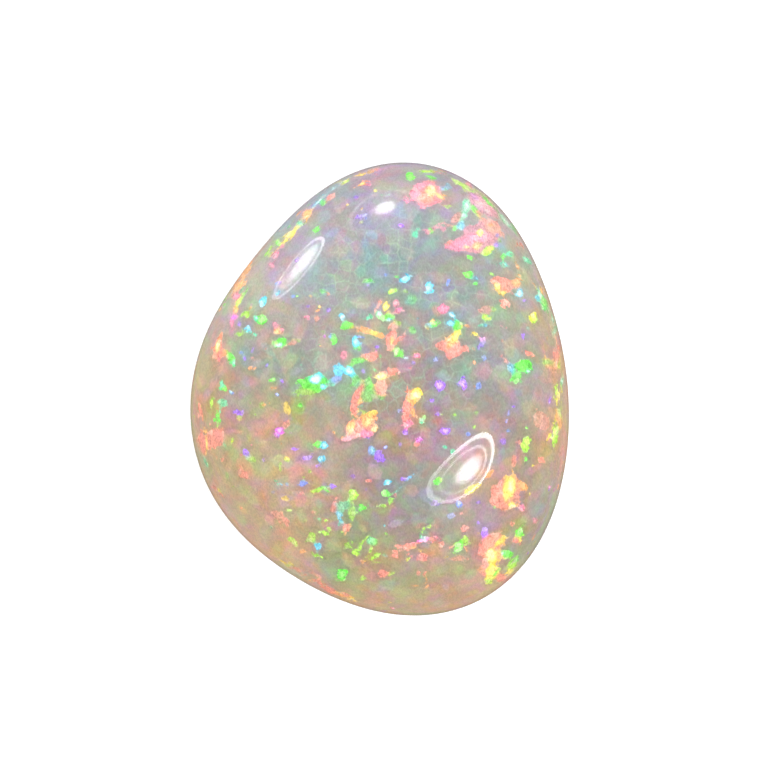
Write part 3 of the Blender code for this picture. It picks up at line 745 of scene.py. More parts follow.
        (-2.35, 9.3, 0.6, 0.35, 45, 0.7), (3.35, 7.1, 0.3, 0.25, 0, 0.8), (6.8, 7.0, 0.5, 0.25, -60, 0.8),
        (-5.55, 2.0, 0.3, 0.2, 0, 0.8), (-6.2, 1.5, 0.3, 0.2, 0, 0.55), (-2.5, 4.55, 0.2, 0.2, 0, 0.7),
        (1.55, 1.0, 0.45, 0.2, 0, 0.5), (5.15, 3.8, 0.75, 0.4, 0, 0.45), (7.2, 1.75, 0.7, 0.25, -35, 0.85),
        (6.1, 1.4, 0.45, 0.25, -50, 0.7), (8.45, 1.7, 0.4, 0.2, 80, 0.6),
        (-8.7, -1.1, 0.95, 0.3, -71, 0.75), (-4.55, -1.75, 0.5, 0.45, 0, 0.5),
        (-7.6, -3.4, 0.6, 0.25, -85, 0.6), (-6.65, -4.1, 0.8, 0.45, -58, 0.6),
        (-3.8, -5.1, 0.5, 0.2, 0, 0.55), (-7.95, -4.85, 0.75, 0.15, -50, 0.6),
        (-2.15, -5.3, 0.35, 0.3, 70, 0.85), (-2.25, -5.8, 0.4, 0.3, 0, 0.55),
        (-0.55, -4.45, 0.35, 0.35, 0, 0.8), (1.85, -2.65, 0.35, 0.25, 0, 0.8),
        (6.1, -1.5, 0.85, 0.15, 0, 0.75), (6.7, -2.6, 0.35, 0.2, 0, 0.5), (6.5, -3.5, 0.5, 0.25, 80, 0.6),
        (7.95, -3.5, 0.45, 0.3, -20, 0.8), (-4.95, -6.2, 0.9, 0.4, -45, 0.45),
        (-4.55, -6.4, 0.9, 0.45, -55, 0.65), (-3.2, -5.95, 0.35, 0.25, 0, 0.5),
        (-1.65, -6.8, 0.6, 0.35, 70, 0.9), (0.15, -8.95, 0.7, 0.45, 0, 0.8),
        (1.4, -8.1, 0.35, 0.15, 0, 0.5), (2.15, -8.15, 0.5, 0.4, 0, 0.75), (3.0, -7.55, 0.45, 0.3, 80, 0.6),
        (3.0, 10.5, 0.45, 0.2, -20, 0.5), (4.1, -6.8, 0.45, 0.3, 0, 0.6), (3.55, -7.65, 0.3, 0.2, 0, 0.8),
        (3.85, -8.25, 0.75, 0.25, 0, 0.45), (6.5, -6.55, 0.35, 0.25, 60, 0.6),
        (6.55, -7.35, 0.4, 0.3, 0, 0.8), (1.85, -8.9, 0.25, 0.2, 80, 0.6), (2.15, -8.9, 0.3, 0.2, 80, 0.6),
        (3.2, -10.7, 0.45, 0.15, 0, 0.5), (5.05, -9.0, 0.3, 0.3, 0, 0.6), (3.95, -6.05, 0.25, 0.2, 0, 0.5),
        (-3.35, -8.95, 0.35, 0.15, 40, 0.5),
    ),
    "rose": (
        (-5.05, 6.5, 0.5, 0.3, 45, 0.8), (-5.3, 6.05, 0.3, 0.3, 0, 0.5), (-4.75, 6.9, 0.25, 0.2, 0, 0.5),
        (-0.55, 9.9, 0.3, 0.25, 0, 0.6), (-0.05, 10.65, 0.45, 0.15, 0, 0.7),
        (-0.15, 10.4, 0.4, 0.15, 0, 0.7), (2.3, 7.65, 0.55, 0.3, 0, 0.5), (2.8, 7.85, 0.55, 0.25, 30, 0.5),
        (3.1, 7.75, 0.45, 0.25, 80, 0.5), (-4.75, 2.95, 0.3, 0.25, 0, 0.8),
        (-5.05, 3.15, 0.35, 0.3, 0, 0.5), (-3.5, 3.45, 0.4, 0.3, 0, 0.6), (-1.75, 1.65, 0.6, 0.45, 80, 0.6),
        (3.1, 3.9, 0.7, 0.5, 0, 0.85), (6.0, 3.1, 0.5, 0.15, -25, 0.7), (4.3, 9.9, 0.4, 0.3, -40, 0.9),
        (7.55, -6.3, 0.4, 0.25, 60, 0.5),
    ),
    "magenta": (
        (-7.15, 3.5, 0.4, 0.3, 0, 0.8), (-2.7, 2.5, 0.2, 0.2, 0, 0.6), (5.0, 2.5, 0.3, 0.25, 0, 0.75),
        (-4.85, -2.0, 0.5, 0.45, 10, 0.97), (1.95, -2.4, 0.35, 0.35, 80, 0.92),
    ),
}
print(sum(len(places) for places in SPARKS.values()), "sparks")

# %% [markdown]
# The ellipses are painted on the mesh itself, part by part, so that each point keeps one colour and one
# number: how far it lies inside the nearest edge. Where ellipses touch, their depths melt into one, so no
# seam runs between them. Smooth noise first bends the places a little, because nothing in a stone has an
# even outline. The material later tears the edges into angular shards, so the mesh only has to carry soft
# shapes. Points outside every patch still get the colour of the nearest one, for its glow.

# %% Paint the fire on the mesh
BENDS = ((0.75, 0.11), (0.26, 0.05))  # size of the noise and how far it pushes, in mm
BEND_SEED = 11  # this noise would otherwise start from another place in every run
SOFT_EDGE = 0.07  # mm
SOFT_SHARE = 0.25  # of the width, where that is more than the soft edge
POINTED = 1.55  # 2 would give even ellipses, and less gives pointed ones
NEAREST = 0.07  # mm, how sharply the nearest patch wins outside the patches
OUTSIDE = -2.0  # mm, kept for points far from every patch
HEART_RISE = (0.05, 0.8)  # how deep in a part its heart begins, and how deep it is palest
SPARK_HEARTS = (0.75, 1.0)  # strength from which a spark gets a pale heart, and at which it is palest
PALEST_SPARK = 0.6

count = len(stone.data.vertices)
points = np.empty(count * 3)
stone.data.vertices.foreach_get("co", points)
points = points.reshape(-1, 3)
nearer = (camera.location.z - GIRDLE_HEIGHT) / (camera.location.z - points[:, 2])
seen_across = ((points[:, 0] - camera.location.x) * nearer + camera.location.x) / MM
seen_along = ((points[:, 1] - camera.location.y) * nearer + camera.location.y) / MM
bent = np.column_stack((seen_across, seen_along))
seed_set(BEND_SEED)
for size, push in BENDS:
    bent += push * np.array([noise_vector(Vector((*place, 0.0)) / size)[:2] for place in bent])

PAINTS = {name: [np.array(light(*tone)[:3]) for tone in tones] for name, _, *tones in FIRE_COLOURS}


def smooth(value, start, end):
    """0 before start and 1 after end, with a soft change between them."""
    share = np.clip((value - start) / (end - start), 0, 1)
    return share * share * (3 - 2 * share)


def lies_in(across, along, length, width, turn):
    """How deep each point lies in a part: 1 in its middle, 0 on its edge and less outside."""
    away = bent - (across, along)
    cosine, sine = math.cos(math.radians(turn)), math.sin(math.radians(turn))
    lengthwise = away[:, 0] * cosine + away[:, 1] * sine
    sideways = away[:, 1] * cosine - away[:, 0] * sine
    spread = np.abs(lengthwise / (length / 2)) ** POINTED + np.abs(sideways / (width / 2)) ** POINTED
    return 1 - spread ** (1 / POINTED)


def spark_heart(strength):
    """How pale the heart of a spark of this strength is."""
    return PALEST_SPARK * float(smooth(strength, *SPARK_HEARTS))


parts = [part for patch in PATCHES.values() for part in patch]
parts += [(colour, *place, spark_heart(place[-1])) for colour, places in SPARKS.items() for place in places]
around = np.zeros((count, 4))
total = np.full(count, TINY)
for colour, across, along, length, width, turn, strength, heart in parts:
    inside = lies_in(across, along, length, width, turn) * width / 2
    weight = np.exp(inside / NEAREST)
    total += weight
    around += np.outer(weight, (*PAINTS[colour][0], strength))
painted = around / total[:, None]
fire_depth = np.maximum(NEAREST * np.log(total), OUTSIDE)
for colour, across, along, length, width, turn, strength, heart in parts:
    share = lies_in(across, along, length, width, turn)
    plain, pale = PAINTS[colour]
    tone = plain + np.outer(heart * smooth(share, *HEART_RISE), pale - plain)
    here = smooth(share * width / 2, 0, max(SOFT_EDGE, width * SOFT_SHARE))[:, None]
    painted += here * (np.column_stack((tone, np.full(count, strength))) - painted)
fire_depth[points[:, 2] < GIRDLE_HEIGHT] = OUTSIDE

stone.data.attributes.new("fire_depth", "FLOAT", "POINT").data.foreach_set("value", fire_depth)
stone.data.attributes.new("fire_colour", "FLOAT_COLOR", "POINT").data.foreach_set("color", painted.ravel())
print(len(parts), "parts cover", round(100 * float((fire_depth > 0).mean()), 1), "% of the mesh's points")

# %% [markdown]
# The body of the stone is milky, and soft clouds of mauve, sage, sand, peach and teal drift through it: fire
# that lies too deep to be sharp. The widest clouds are listed one by one, because they set the stone's
# overall colours: cool at the top and in the middle, and warm towards the lower edge. They are soft, so the
# mesh can carry them as a colour for each point. Noise in the material then breaks them up into finer clouds.

# %% Wide clouds listed one by one
CLOUD_TINTS = {
    "milk": (178, 174, 164),
    "lilac": (161, 159, 182),
    "pool": (142, 161, 172),
    "teal": (152, 169, 175),
    "sage": (158, 181, 165),
    "ash": (153, 159, 155),
    "mauve": (169, 143, 144),
    "plum": (160, 134, 133),
    "clay": (175, 158, 146),
    "dusk": (158, 159, 138),
    "rose": (191, 163, 157),
    "blush": (190, 180, 184),
    "peach": (215, 187, 150),
    "straw": (163, 172, 120),
    "sand": (168, 165, 138),
    "honey": (198, 174, 135),
    "amber": (205, 168, 131),
}
WIDE_CLOUDS = (  # across, along, radius in mm, tint
    (0.2, 10.0, 2.2, "lilac"),
    (-3.0, 8.8, 1.8, "lilac"),
    (-5.6, 6.0, 1.8, "milk"),
    (-3.4, 6.0, 1.6, "lilac"),
    (0.6, 7.5, 2.2, "pool"),
    (4.7, 8.3, 1.6, "blush"),
    (3.5, 9.8, 1.0, "lilac"),
    (6.8, 5.9, 1.6, "milk"),
    (-0.6, 5.2, 2.0, "teal"),
    (3.4, 5.2, 2.0, "teal"),
    (-2.8, 3.6, 1.8, "milk"),
    (-6.4, 2.9, 1.8, "milk"),
    (0.2, 3.2, 1.3, "sand"),
    (6.4, 3.3, 1.8, "sage"),
    (8.4, 3.2, 1.4, "amber"),
    (-4.2, 1.2, 1.8, "ash"),
    (-1.9, 0.6, 1.6, "sage"),
    (0.4, 0.8, 1.5, "sand"),
    (3.6, 1.4, 2.2, "ash"),
    (6.8, 0.6, 1.6, "sage"),
    (9.0, 0.6, 1.3, "amber"),
    (-8.6, 0.2, 1.6, "honey"),
    (-6.3, -1.2, 1.6, "rose"),
    (-3.4, -1.0, 1.8, "straw"),
    (0.2, -1.4, 1.5, "dusk"),
    (2.8, -1.2, 1.8, "plum"),
    (5.4, -1.6, 1.8, "mauve"),
    (8.9, -2.4, 1.4, "amber"),
    (-8.4, -3.2, 1.8, "honey"),
    (-5.8, -4.4, 2.4, "peach"),
    (-2.6, -3.4, 1.6, "rose"),
    (-0.6, -3.6, 1.6, "dusk"),
    (1.4, -4.4, 2.0, "mauve"),
    (4.6, -5.4, 1.8, "clay"),
    (7.0, -4.8, 1.8, "sand"),
    (-4.6, -7.2, 2.0, "peach"),
    (-1.8, -7.2, 1.8, "sand"),
    (1.4, -7.2, 1.8, "ash"),
    (4.6, -7.8, 1.6, "rose"),
    (7.2, -7.2, 1.6, "dusk"),
    (-0.6, -10.0, 2.2, "honey"),
    (3.6, -9.8, 2.0, "honey"),
    (6.0, -9.4, 1.4, "amber"),
)
MILK_SHARE = 0.05  # how much plain milk is mixed into every cloud

total = np.full(count, MILK_SHARE)
cloud_colour = np.outer(total, light(*CLOUD_TINTS["milk"])[:3])
for across, along, radius, tint in WIDE_CLOUDS:
    weight = np.exp(-((seen_across - across) ** 2 + (seen_along - along) ** 2) / radius**2)
    total += weight
    cloud_colour += np.outer(weight, light(*CLOUD_TINTS[tint])[:3])
cloud_colour = np.column_stack((cloud_colour / total[:, None], np.ones(count)))
kept = stone.data.attributes.new("cloud", "FLOAT_COLOR", "POINT")
kept.data.foreach_set("color", cloud_colour.ravel())
print(len(WIDE_CLOUDS), "wide clouds")

# %% [markdown]
# The finer clouds come from three noises, from drifts to wisps. A single noise would look like smoke in one
# colour, so each runs through a ramp of several tints, as a soft rainbow would. They are mixed in Linear
# Light, in which a middle grey of 188 changes nothing and every other tint shifts the colour towards
# itself, so the wide clouds keep their own colours. All patterns read the object's own coordinates, scaled
# so that one unit is one millimetre.

# %% Milky body
DRIFT_TINTS = (
    (0.28, (156, 204, 214)),
    (0.38, (178, 200, 184)),
    (0.46, (188, 188, 186)),
    (0.54, (202, 168, 208)),
    (0.62, (216, 174, 170)),
    (0.72, (208, 196, 148)),
)
VEIL_TINTS = (
    (0.32, (198, 170, 216)),
    (0.42, (187, 188, 187)),
    (0.50, (174, 204, 178)),
    (0.58, (188, 186, 186)),
    (0.68, (218, 176, 162)),
)
WISP_TINTS = (
    (0.32, (164, 204, 208)),
    (0.44, (192, 184, 196)),
    (0.56, (184, 194, 180)),
    (0.68, (214, 178, 168)),
)
BODY_LAYERS = (  # size in mm, detail, swirl, number of the pattern, share, tints
    (2.3, 2.0, 0.6, 0, 0.20, DRIFT_TINTS),
    (0.9, 3.0, 0.3, 1, 0.14, VEIL_TINTS),
    (0.5, 2.0, 0.8, 8, 0.07, WISP_TINTS),
)
SHIFT = (17.3, -9.1, 5.7)  # mm, from one numbered pattern to the next


def noise(tree, place, size, detail=2.0, swirl=0.0, wanted="Fac"):
    """Soft noise whose lumps are about this many millimetres across."""
    filled = {"Vector": place, "Scale": 1 / size, "Detail": detail, "Distortion": swirl}
    return add_node(tree, "ShaderNodeTexNoise", filled).outputs[wanted]


def shifted(tree, place, number):
    """The same place in another part of the pattern, so that two patterns don't agree."""
    return move(tree, "ADD", place, [number * step for step in SHIFT])


def body_colour(tree, place):
    """The wide clouds kept on the mesh, shifted by the finer ones."""
    ground = attribute(tree, "cloud", "Color")
    for size, detail, swirl, number, share, tints in BODY_LAYERS:
        tint = tint_ramp(tree, noise(tree, shifted(tree, place, number), size, detail, swirl), tints)
        ground = blend(tree, share, ground, tint, "LINEAR_LIGHT")
    return ground


print("the body mixes", len(BODY_LAYERS), "layers of", sum(len(layer[-1]) for layer in BODY_LAYERS), "tints")

# %% [markdown]
# Under the middle of the face the opal grew in columns, which show end-on as a honeycomb: pale mint walls
# as thin as a hair around small cells. A Voronoi texture is made for this, because it divides a plane into
# cells. Columns run straight down, so the texture reads only the two coordinates that lie flat.

# %% Honeycomb
CELL = 0.50  # mm, from one cell's middle to the next
CELL_SCATTER = 0.8  # 0 would give even squares, and 1 leaves the middles to chance
CELL_BEND = (1.1, 0.5)  # size of the noise that bends the walls, and how far it pushes, in mm
CELL_TINTS = (
    (0.0, (132, 168, 172)),
    (0.3, (150, 176, 152)),
    (0.55, (172, 150, 172)),
    (0.8, (196, 160, 158)),
    (1.0, (164, 166, 150)),
)
CELL_STRENGTH = 0.24
WALL_COLOUR = light(180, 208, 186)
WALL_STRENGTH = 0.46
WALL_FADE = (0.12, 0.01)  # where a wall ends and where it is full, from its middle, in cells
COLUMN_MIDDLE = (0.8, 3.2, 7.0)  # mm, where the honeycomb is clearest
COLUMN_FADE = (8.0, 3.2)  # mm from there, where it ends and where it is full
GAP_PATTERN = 2
GAP_SIZE = 1.6  # mm, of the patches in which it is faint
GAP_FADE = (0.38, 0.62, 0.2, 1.0)  # a fade: the noise, and how much of the honeycomb shows


def voronoi(tree, place, size, feature="F1", dimensions="3D", scatter=1.0):
    """Random cells of about this size. Their distances are given in cells, and their positions in mm."""
    filled = {"Vector": place, "Scale": 1 / size, "Randomness": scatter}
    made = add_node(tree, "ShaderNodeTexVoronoi", filled, feature=feature, voronoi_dimensions=dimensions)
    return made.outputs


def torn(tree, place, size, amount):
    """The same place, pushed about by noise, so that straight lines come out ragged."""
    push = move(tree, "SUBTRACT", noise(tree, place, size, detail=2.0, wanted="Color"), (0.5, 0.5, 0.5))
    return move(tree, "ADD", place, move(tree, "SCALE", push, amount))


def honeycomb(tree, place, ground):
    """Lay the honeycomb over the body's colour."""
    plan = torn(tree, place, *CELL_BEND)
    cells = voronoi(tree, plan, CELL, "F1", "2D", CELL_SCATTER)
    edge = voronoi(tree, plan, CELL, "DISTANCE_TO_EDGE", "2D", CELL_SCATTER)["Distance"]
    near = fade(tree, move(tree, "DISTANCE", place, COLUMN_MIDDLE), *COLUMN_FADE)
    gaps = noise(tree, shifted(tree, place, GAP_PATTERN), GAP_SIZE, detail=3.0)
    strength = times(tree, near, fade(tree, gaps, *GAP_FADE))
    tints = tint_ramp(tree, channels(tree, cells["Color"])[0], CELL_TINTS)
    ground = blend(tree, times(tree, strength, CELL_STRENGTH), ground, tints)
    wall = times(tree, fade(tree, edge, *WALL_FADE), strength)
    return blend(tree, times(tree, wall, WALL_STRENGTH), ground, WALL_COLOUR)


print("honeycomb cells:", CELL, "mm")

# %% [markdown]
# Beside the listed patches there is fire left to chance. It comes in lumps, and crowds around those patches,
# along the girdle, and on the belly, which the photograph doesn't show. A number says how crowded it is at
# each place. Each named value below is a fade: where it starts and ends, and how crowded the fire is at
# either end.

# %% Where the fire crowds together
CROWDING_PATTERN = 9
CROWDING_SIZE = 2.4  # mm, of the lumps in the fire
IN_LUMPS = (0.36, 0.66, 0.2, 1.8)
BY_PATCHES = (-0.9, -0.2, 0.05, 1.5)  # mm inside the edge of the nearest patch
ON_BELLY = (2.4, 1.6, 0.0, 1.5)  # mm above the table
AT_WIDE_END = (-9.5, -5.0, 0.45, 1.0)  # mm along the stone
BY_GIRDLE = (4.8, 3.2, 0.0, 1.0)  # mm above the table


def crowding(tree, place):
    """How many more or fewer shards burn at a place."""
    where = split(tree, place)
    lumps = noise(tree, shifted(tree, place, CROWDING_PATTERN), CROWDING_SIZE, detail=1.0)
    by_patches = fade(tree, attribute(tree, "fire_depth"), *BY_PATCHES)
    on_belly = fade(tree, where["Z"], *ON_BELLY)
    crowded = times(tree, fade(tree, lumps, *IN_LUMPS), calc(tree, "MAXIMUM", by_patches, on_belly))
    crowded = times(tree, crowded, fade(tree, where["Y"], *AT_WIDE_END))
    return plus(tree, crowded, fade(tree, where["Z"], *BY_GIRDLE))


print("fire comes in lumps of", CROWDING_SIZE, "mm")

# %% [markdown]
# Fire is made in layers of torn shards. A three-dimensional Voronoi texture breaks the stone into random
# cells, and only a few of them light up, more of them where the fire crowds together. The cell's own random
# numbers choose whether it burns, its hue and how bright its middle is, so one small function serves for
# coarse and fine fire.

# %% Layers of fire
FIRE_LAYERS = (  # size in mm, share of cells that burn, number of the pattern
    (0.62, 0.011, 4),
    (0.36, 0.011, 5),
    (0.22, 0.015, 6),
)
FACET_LIT_SIDE = (1.1, 1.5, 0.4)  # the direction in which facets get lighter: painted shade, as if they were tilted to the light
FACET_SHADE = 0.22
SHARD_FADE = (0.60, 0.25)  # where a shard ends and where it is full, from its middle, in shards
HEART_FADE = (0.40, 0.05)  # the same for its bright middle
HEART_CHANCE = (0.45, 1.0)  # random numbers from which a shard has a bright middle, and has it fully
FAINT = (0.0, 1.0, 0.15, 0.85)  # how strongly shards cover, from the faintest to the strongest
HUE_SPREAD = 0.6  # how far the hues of neighbours differ
HUE_PATTERN = 10
HUE_REGION = 3.5  # mm, of the regions with one hue
HUE_DIFFERENCE = 2.6  # how far the hues of two regions differ


def facets(tree, place, size):
    """Random shards of about this size. Returns three random numbers for each, how far a point lies from the
    shard's middle, and a painted shade that runs from -1 to 1 across it, as light would change across a
    tilted facet."""
    cells = voronoi(tree, place, size)
    painted_tilt_shade = move(tree, "DOT_PRODUCT", move(tree, "SUBTRACT", place, cells["Position"]), FACET_LIT_SIDE)
    return channels(tree, cells["Color"]), cells["Distance"], fade(tree, painted_tilt_shade, -size, size, -1.0, 1.0)


def fire_layer(tree, place, size, share, number, crowded, drift):
    """Shards of about this size. Returns how strongly they cover, and their colour."""
    draw, away, painted_tilt_shade = facets(tree, shifted(tree, place, number), size)
    lit = calc(tree, "LESS_THAN", draw[0], times(tree, crowded, share))
    cover = times(tree, lit, fade(tree, away, *SHARD_FADE), fade(tree, draw[2], *FAINT))
    hue = calc(tree, "FRACT", plus(tree, drift, times(tree, draw[1], HUE_SPREAD)))
    heart = times(tree, fade(tree, away, *HEART_FADE), fade(tree, draw[2], *HEART_CHANCE))
    colour = blend(tree, heart, palette(tree, hue, 0), palette(tree, hue, 1))
    # each shard's colour gets the painted shade across its facet
    return cover, move(tree, "SCALE", colour, plus(tree, 1.0, times(tree, painted_tilt_shade, FACET_SHADE)))


print(len(FIRE_LAYERS), "layers of shards, from", FIRE_LAYERS[-1][0], "to", FIRE_LAYERS[0][0], "mm")

# %% [markdown]
# The listed patches and sparks use the attributes kept on the mesh. Shards push the edge in and out, smaller
# ones chip it, and a painted shade across each shard, lighter towards one side, makes it look like a tilted
# facet. Fine straight lines run through the fire, as they do where the spheres' layers are broken, and turn
# another way in the next region. A soft glow in the patch's own colour spreads around it, as light does in
# milk, behind a thin darker line.

# %% Patches and sparks in the material
TEAR_PATTERN = 7
TEAR_FACET = 0.34  # mm
TEAR = 0.13  # mm, how far a shard pushes an edge in or out
CHIP_FACET = 0.15  # mm, smaller shards that roughen the edges of the smallest sparks
CHIP = 0.04  # mm
STRIA_WIDTH = 0.10  # mm
STRIA_LENGTH = 0.9  # mm
STRIA_REGION = 1.5  # mm
STRIA_CONTRAST = (0.30, 0.70)  # the part of the noise that is spread from -1 to 1
STRIA_STRENGTH = 0.10
FRAY = 0.015  # mm, how far the lines move the edges
SHARP_EDGE = 0.06  # mm
GLOW = (-0.36, 0.0, 0.0, 0.16)  # a fade: mm inside the edge, and how strong the glow is there
EDGE_SHADOW = 0.16  # how much darker the thin line around a patch is
EDGE_SHADOW_AT = 0.05  # mm outside the edge
FACET_STEP = (0.0, 1.0, -0.15, 0.06)  # how much darker or lighter a whole facet can be
FACET_TILT_SHADE = 0.10  # how much lighter one end of it is, a painted shade
PALE_FACET = light(255, 244, 224)
PALE_CHANCE = (0.70, 0.98, 0.0, 0.28)  # random numbers from which a facet is pale, and how pale


def striae(tree, place):
    """Fine straight lines, from -1 to 1, that run one way within a region and another way in the next."""
    turn = times(tree, channels(tree, voronoi(tree, place, STRIA_REGION)["Color"])[0], math.pi)
    turned = {"Vector": place, "Angle": turn}
    across = add_node(tree, "ShaderNodeVectorRotate", turned, rotation_type="Z_AXIS").outputs[0]
    drawn_out = move(tree, "MULTIPLY", across, (1.0, STRIA_WIDTH / STRIA_LENGTH, 1.0))
    return fade(tree, noise(tree, drawn_out, STRIA_WIDTH, detail=1.0), *STRIA_CONTRAST, -1.0, 1.0)


def hand_placed_fire(tree, place, ground):
    """Lay the fire over the ground. Returns the colour and how much of it the fire covers."""
    depth = attribute(tree, "fire_depth")
    colour = attribute(tree, "fire_colour", "Color")
    strength = attribute(tree, "fire_colour", "Alpha")
    draw, away, painted_tilt_shade = facets(tree, shifted(tree, place, TEAR_PATTERN), TEAR_FACET)
    chip = channels(tree, voronoi(tree, place, CHIP_FACET)["Color"])[0]
    lines = striae(tree, place)
    tear = times(tree, minus(tree, draw[0], 0.5), TEAR)
    chipped = times(tree, minus(tree, chip, 0.5), CHIP)
    torn_depth = plus(tree, depth, plus(tree, tear, chipped, times(tree, lines, FRAY)))

    ground = blend(tree, times(tree, fade(tree, depth, *GLOW), strength), ground, colour)
    from_line = calc(tree, "ABSOLUTE", plus(tree, torn_depth, EDGE_SHADOW_AT))
    shadow = times(tree, fade(tree, from_line, EDGE_SHADOW_AT, 0.0, 0.0, EDGE_SHADOW), strength)
    ground = move(tree, "SCALE", ground, minus(tree, 1.0, shadow))

    cover = times(tree, fade(tree, torn_depth, 0.0, SHARP_EDGE), strength)
    # random tone for each facet, and a painted shade that lightens one end of it
    lit = plus(tree, 1.0, fade(tree, draw[1], *FACET_STEP), times(tree, painted_tilt_shade, FACET_TILT_SHADE))
    lit = plus(tree, lit, times(tree, lines, STRIA_STRENGTH))
    colour = blend(tree, fade(tree, draw[2], *PALE_CHANCE), colour, PALE_FACET)
    return blend(tree, cover, ground, move(tree, "SCALE", colour, lit)), cover


print("edges are torn by shards of", TEAR_FACET, "mm")

# %% [markdown]
# Seen close up, nothing in the stone is even: fine fibres and tiny facets make every patch a little lighter
# or darker, most of all in the fire, and each facet gets a painted shade that is lighter towards one side, as
# if it were tilted. Around the girdle the colour is darkened by height, a painted shade that makes the
# outline look darker, as in the photograph. The belly under it gets lighter again, softly, so that the
# painted shade doesn't look like a band from the side. Both change the finished colour by a factor.

# %% Fine grain and painted shade at the girdle
GRAIN_FACET = 0.26  # mm
GRAIN_STRETCH = (1.9, 1.0, 1.0)  # the grain is this much finer across the stone
GRAIN_TILT_SHADE = 0.06  # how much lighter one end of a facet is, a painted shade
GRAIN_STEP = 0.06  # how much lighter or darker a whole facet can be
FIBRE = 0.12  # mm
FIBRE_FADE = (0.25, 0.75, -0.20, 0.20)  # a fade: the noise, and how much lighter it makes a fibre
GRAIN_IN_FIRE = (0.0, 0.5, 0.65, 1.2)  # a fade: how much the fire covers, and how strong the grain is there
PAINTED_GIRDLE_SHADE_TINTS = (  # height in mm, and the tint of painted shade that the colour is multiplied by
    (0.3, (214, 208, 201)),
    (1.2, (192, 185, 178)),
    (2.1, (160, 152, 145)),
    (2.8, (148, 141, 135)),
    (3.2, (188, 181, 174)),
    (3.8, (217, 211, 204)),
    (5.0, (238, 237, 233)),
    (6.4, (243, 243, 244)),
)


def grain(tree, place, covered):
    """A factor close to 1 that varies from fibre to fibre and from facet to facet, with a painted shade that
    makes one end of each facet lighter.
    """
    stretched = move(tree, "MULTIPLY", place, GRAIN_STRETCH)
    draw, away, painted_tilt_shade = facets(tree, stretched, GRAIN_FACET)
    step = fade(tree, draw[0], 0.0, 1.0, -GRAIN_STEP, GRAIN_STEP)
    fibres = fade(tree, noise(tree, stretched, FIBRE, detail=1.0), *FIBRE_FADE)
    # painted shade across each facet, with random tone and fibres
    rough = plus(tree, times(tree, painted_tilt_shade, GRAIN_TILT_SHADE), step, fibres)
    return plus(tree, 1.0, times(tree, rough, fade(tree, covered, *GRAIN_IN_FIRE)))


def painted_girdle_shade(tree, height):
    """The tint of painted shade that belongs to a height above the table, darkest just above the girdle."""
    low, high = PAINTED_GIRDLE_SHADE_TINTS[0][0], PAINTED_GIRDLE_SHADE_TINTS[-1][0]
    share = calc(tree, "DIVIDE", minus(tree, height, low), high - low, clamp=True)
    return tint_ramp(tree, share, [((at - low) / (high - low), tint) for at, tint in PAINTED_GIRDLE_SHADE_TINTS])


print("the smallest facets measure", GRAIN_FACET, "mm")

# %% [markdown]
# The finished stone is one Principled shader. Almost half of the light that isn't reflected goes through
# the milky body, and hardly any through a patch of fire, which sends it back. Two layers of gloss are
# needed: the polish on the outside is sharp, but what lies inside is seen softly, so the coat is smooth and
# the layer under it isn't.

# %% Material of the stone
STONE_FINISH = {
    "Roughness": 0.35,
    "IOR": 1.45,
    "Specular IOR Level": 0.0,
    "Coat Weight": 0.15,
    "Coat Roughness": 0.03,
    "Coat IOR": 2.0,
}
CLEAR_ABOVE = (2.6, 4.6, 0.0, 0.45)  # a fade: height in mm, and how much light goes through
CLEAR_IN_FIRE = (0.0, 1.0, 1.0, 0.1)  # a fade: how much the fire covers, and what share of that is left
HAZE_COLOUR = light(236, 214, 176)
HAZE_DENSITY = 180.0
RAGGED = (0.45, 0.28)  # size of the noise that bends every shard, and how far it pushes, in mm


def finish_stone(material):
    """Build the stone's material and return how many nodes it has."""
    material.use_nodes = True
    tree = material.node_tree
    shader = tree.nodes["Principled BSDF"]
    place = move(tree, "SCALE", add_node(tree, "ShaderNodeTexCoord").outputs["Object"], 1 / MM)
    height = split(tree, place)["Z"]
    colour = honeycomb(tree, place, body_colour(tree, place))

    crowded = crowding(tree, place)
    drift = noise(tree, shifted(tree, place, HUE_PATTERN), HUE_REGION, detail=0.0)
    drift = times(tree, drift, HUE_DIFFERENCE)
    ragged = torn(tree, place, *RAGGED)
    covered = 0.0
    for size, share, number in FIRE_LAYERS:
        cover, fire = fire_layer(tree, ragged, size, share, number, crowded, drift)
        colour = blend(tree, cover, colour, fire)
        covered = calc(tree, "MAXIMUM", cover, covered)
    colour, cover = hand_placed_fire(tree, ragged, colour)
    covered = calc(tree, "MAXIMUM", cover, covered)
    colour = move(tree, "SCALE", colour, grain(tree, ragged, covered))
    # painted shade: the colour is darkened around the girdle, by height
    colour = blend(tree, 1.0, colour, painted_girdle_shade(tree, height), "MULTIPLY")

    see_through = times(tree, fade(tree, height, *CLEAR_ABOVE), fade(tree, covered, *CLEAR_IN_FIRE))
    plug(tree, shader.inputs["Base Color"], colour)
    plug(tree, shader.inputs["Transmission Weight"], see_through)
    for name, value in STONE_FINISH.items():
        shader.inputs[name].default_value = value
    haze = add_node(tree, "ShaderNodeVolumeAbsorption", {"Color": HAZE_COLOUR, "Density": HAZE_DENSITY})
    plug(tree, tree.nodes["Material Output"].inputs["Volume"], haze.outputs[0])
    return len(tree.nodes)


print("the stone's material has", finish_stone(opal_material), "nodes")

# %% [markdown]
# Under the surface, real flakes of fire give the stone depth: they shift against each other as it is
# turned. Each is a thin closed plate. Geometry Nodes scatter them over the surface, push each one inwards
# along the surface's normal, and tilt and stretch it, all from random numbers with a fixed seed.

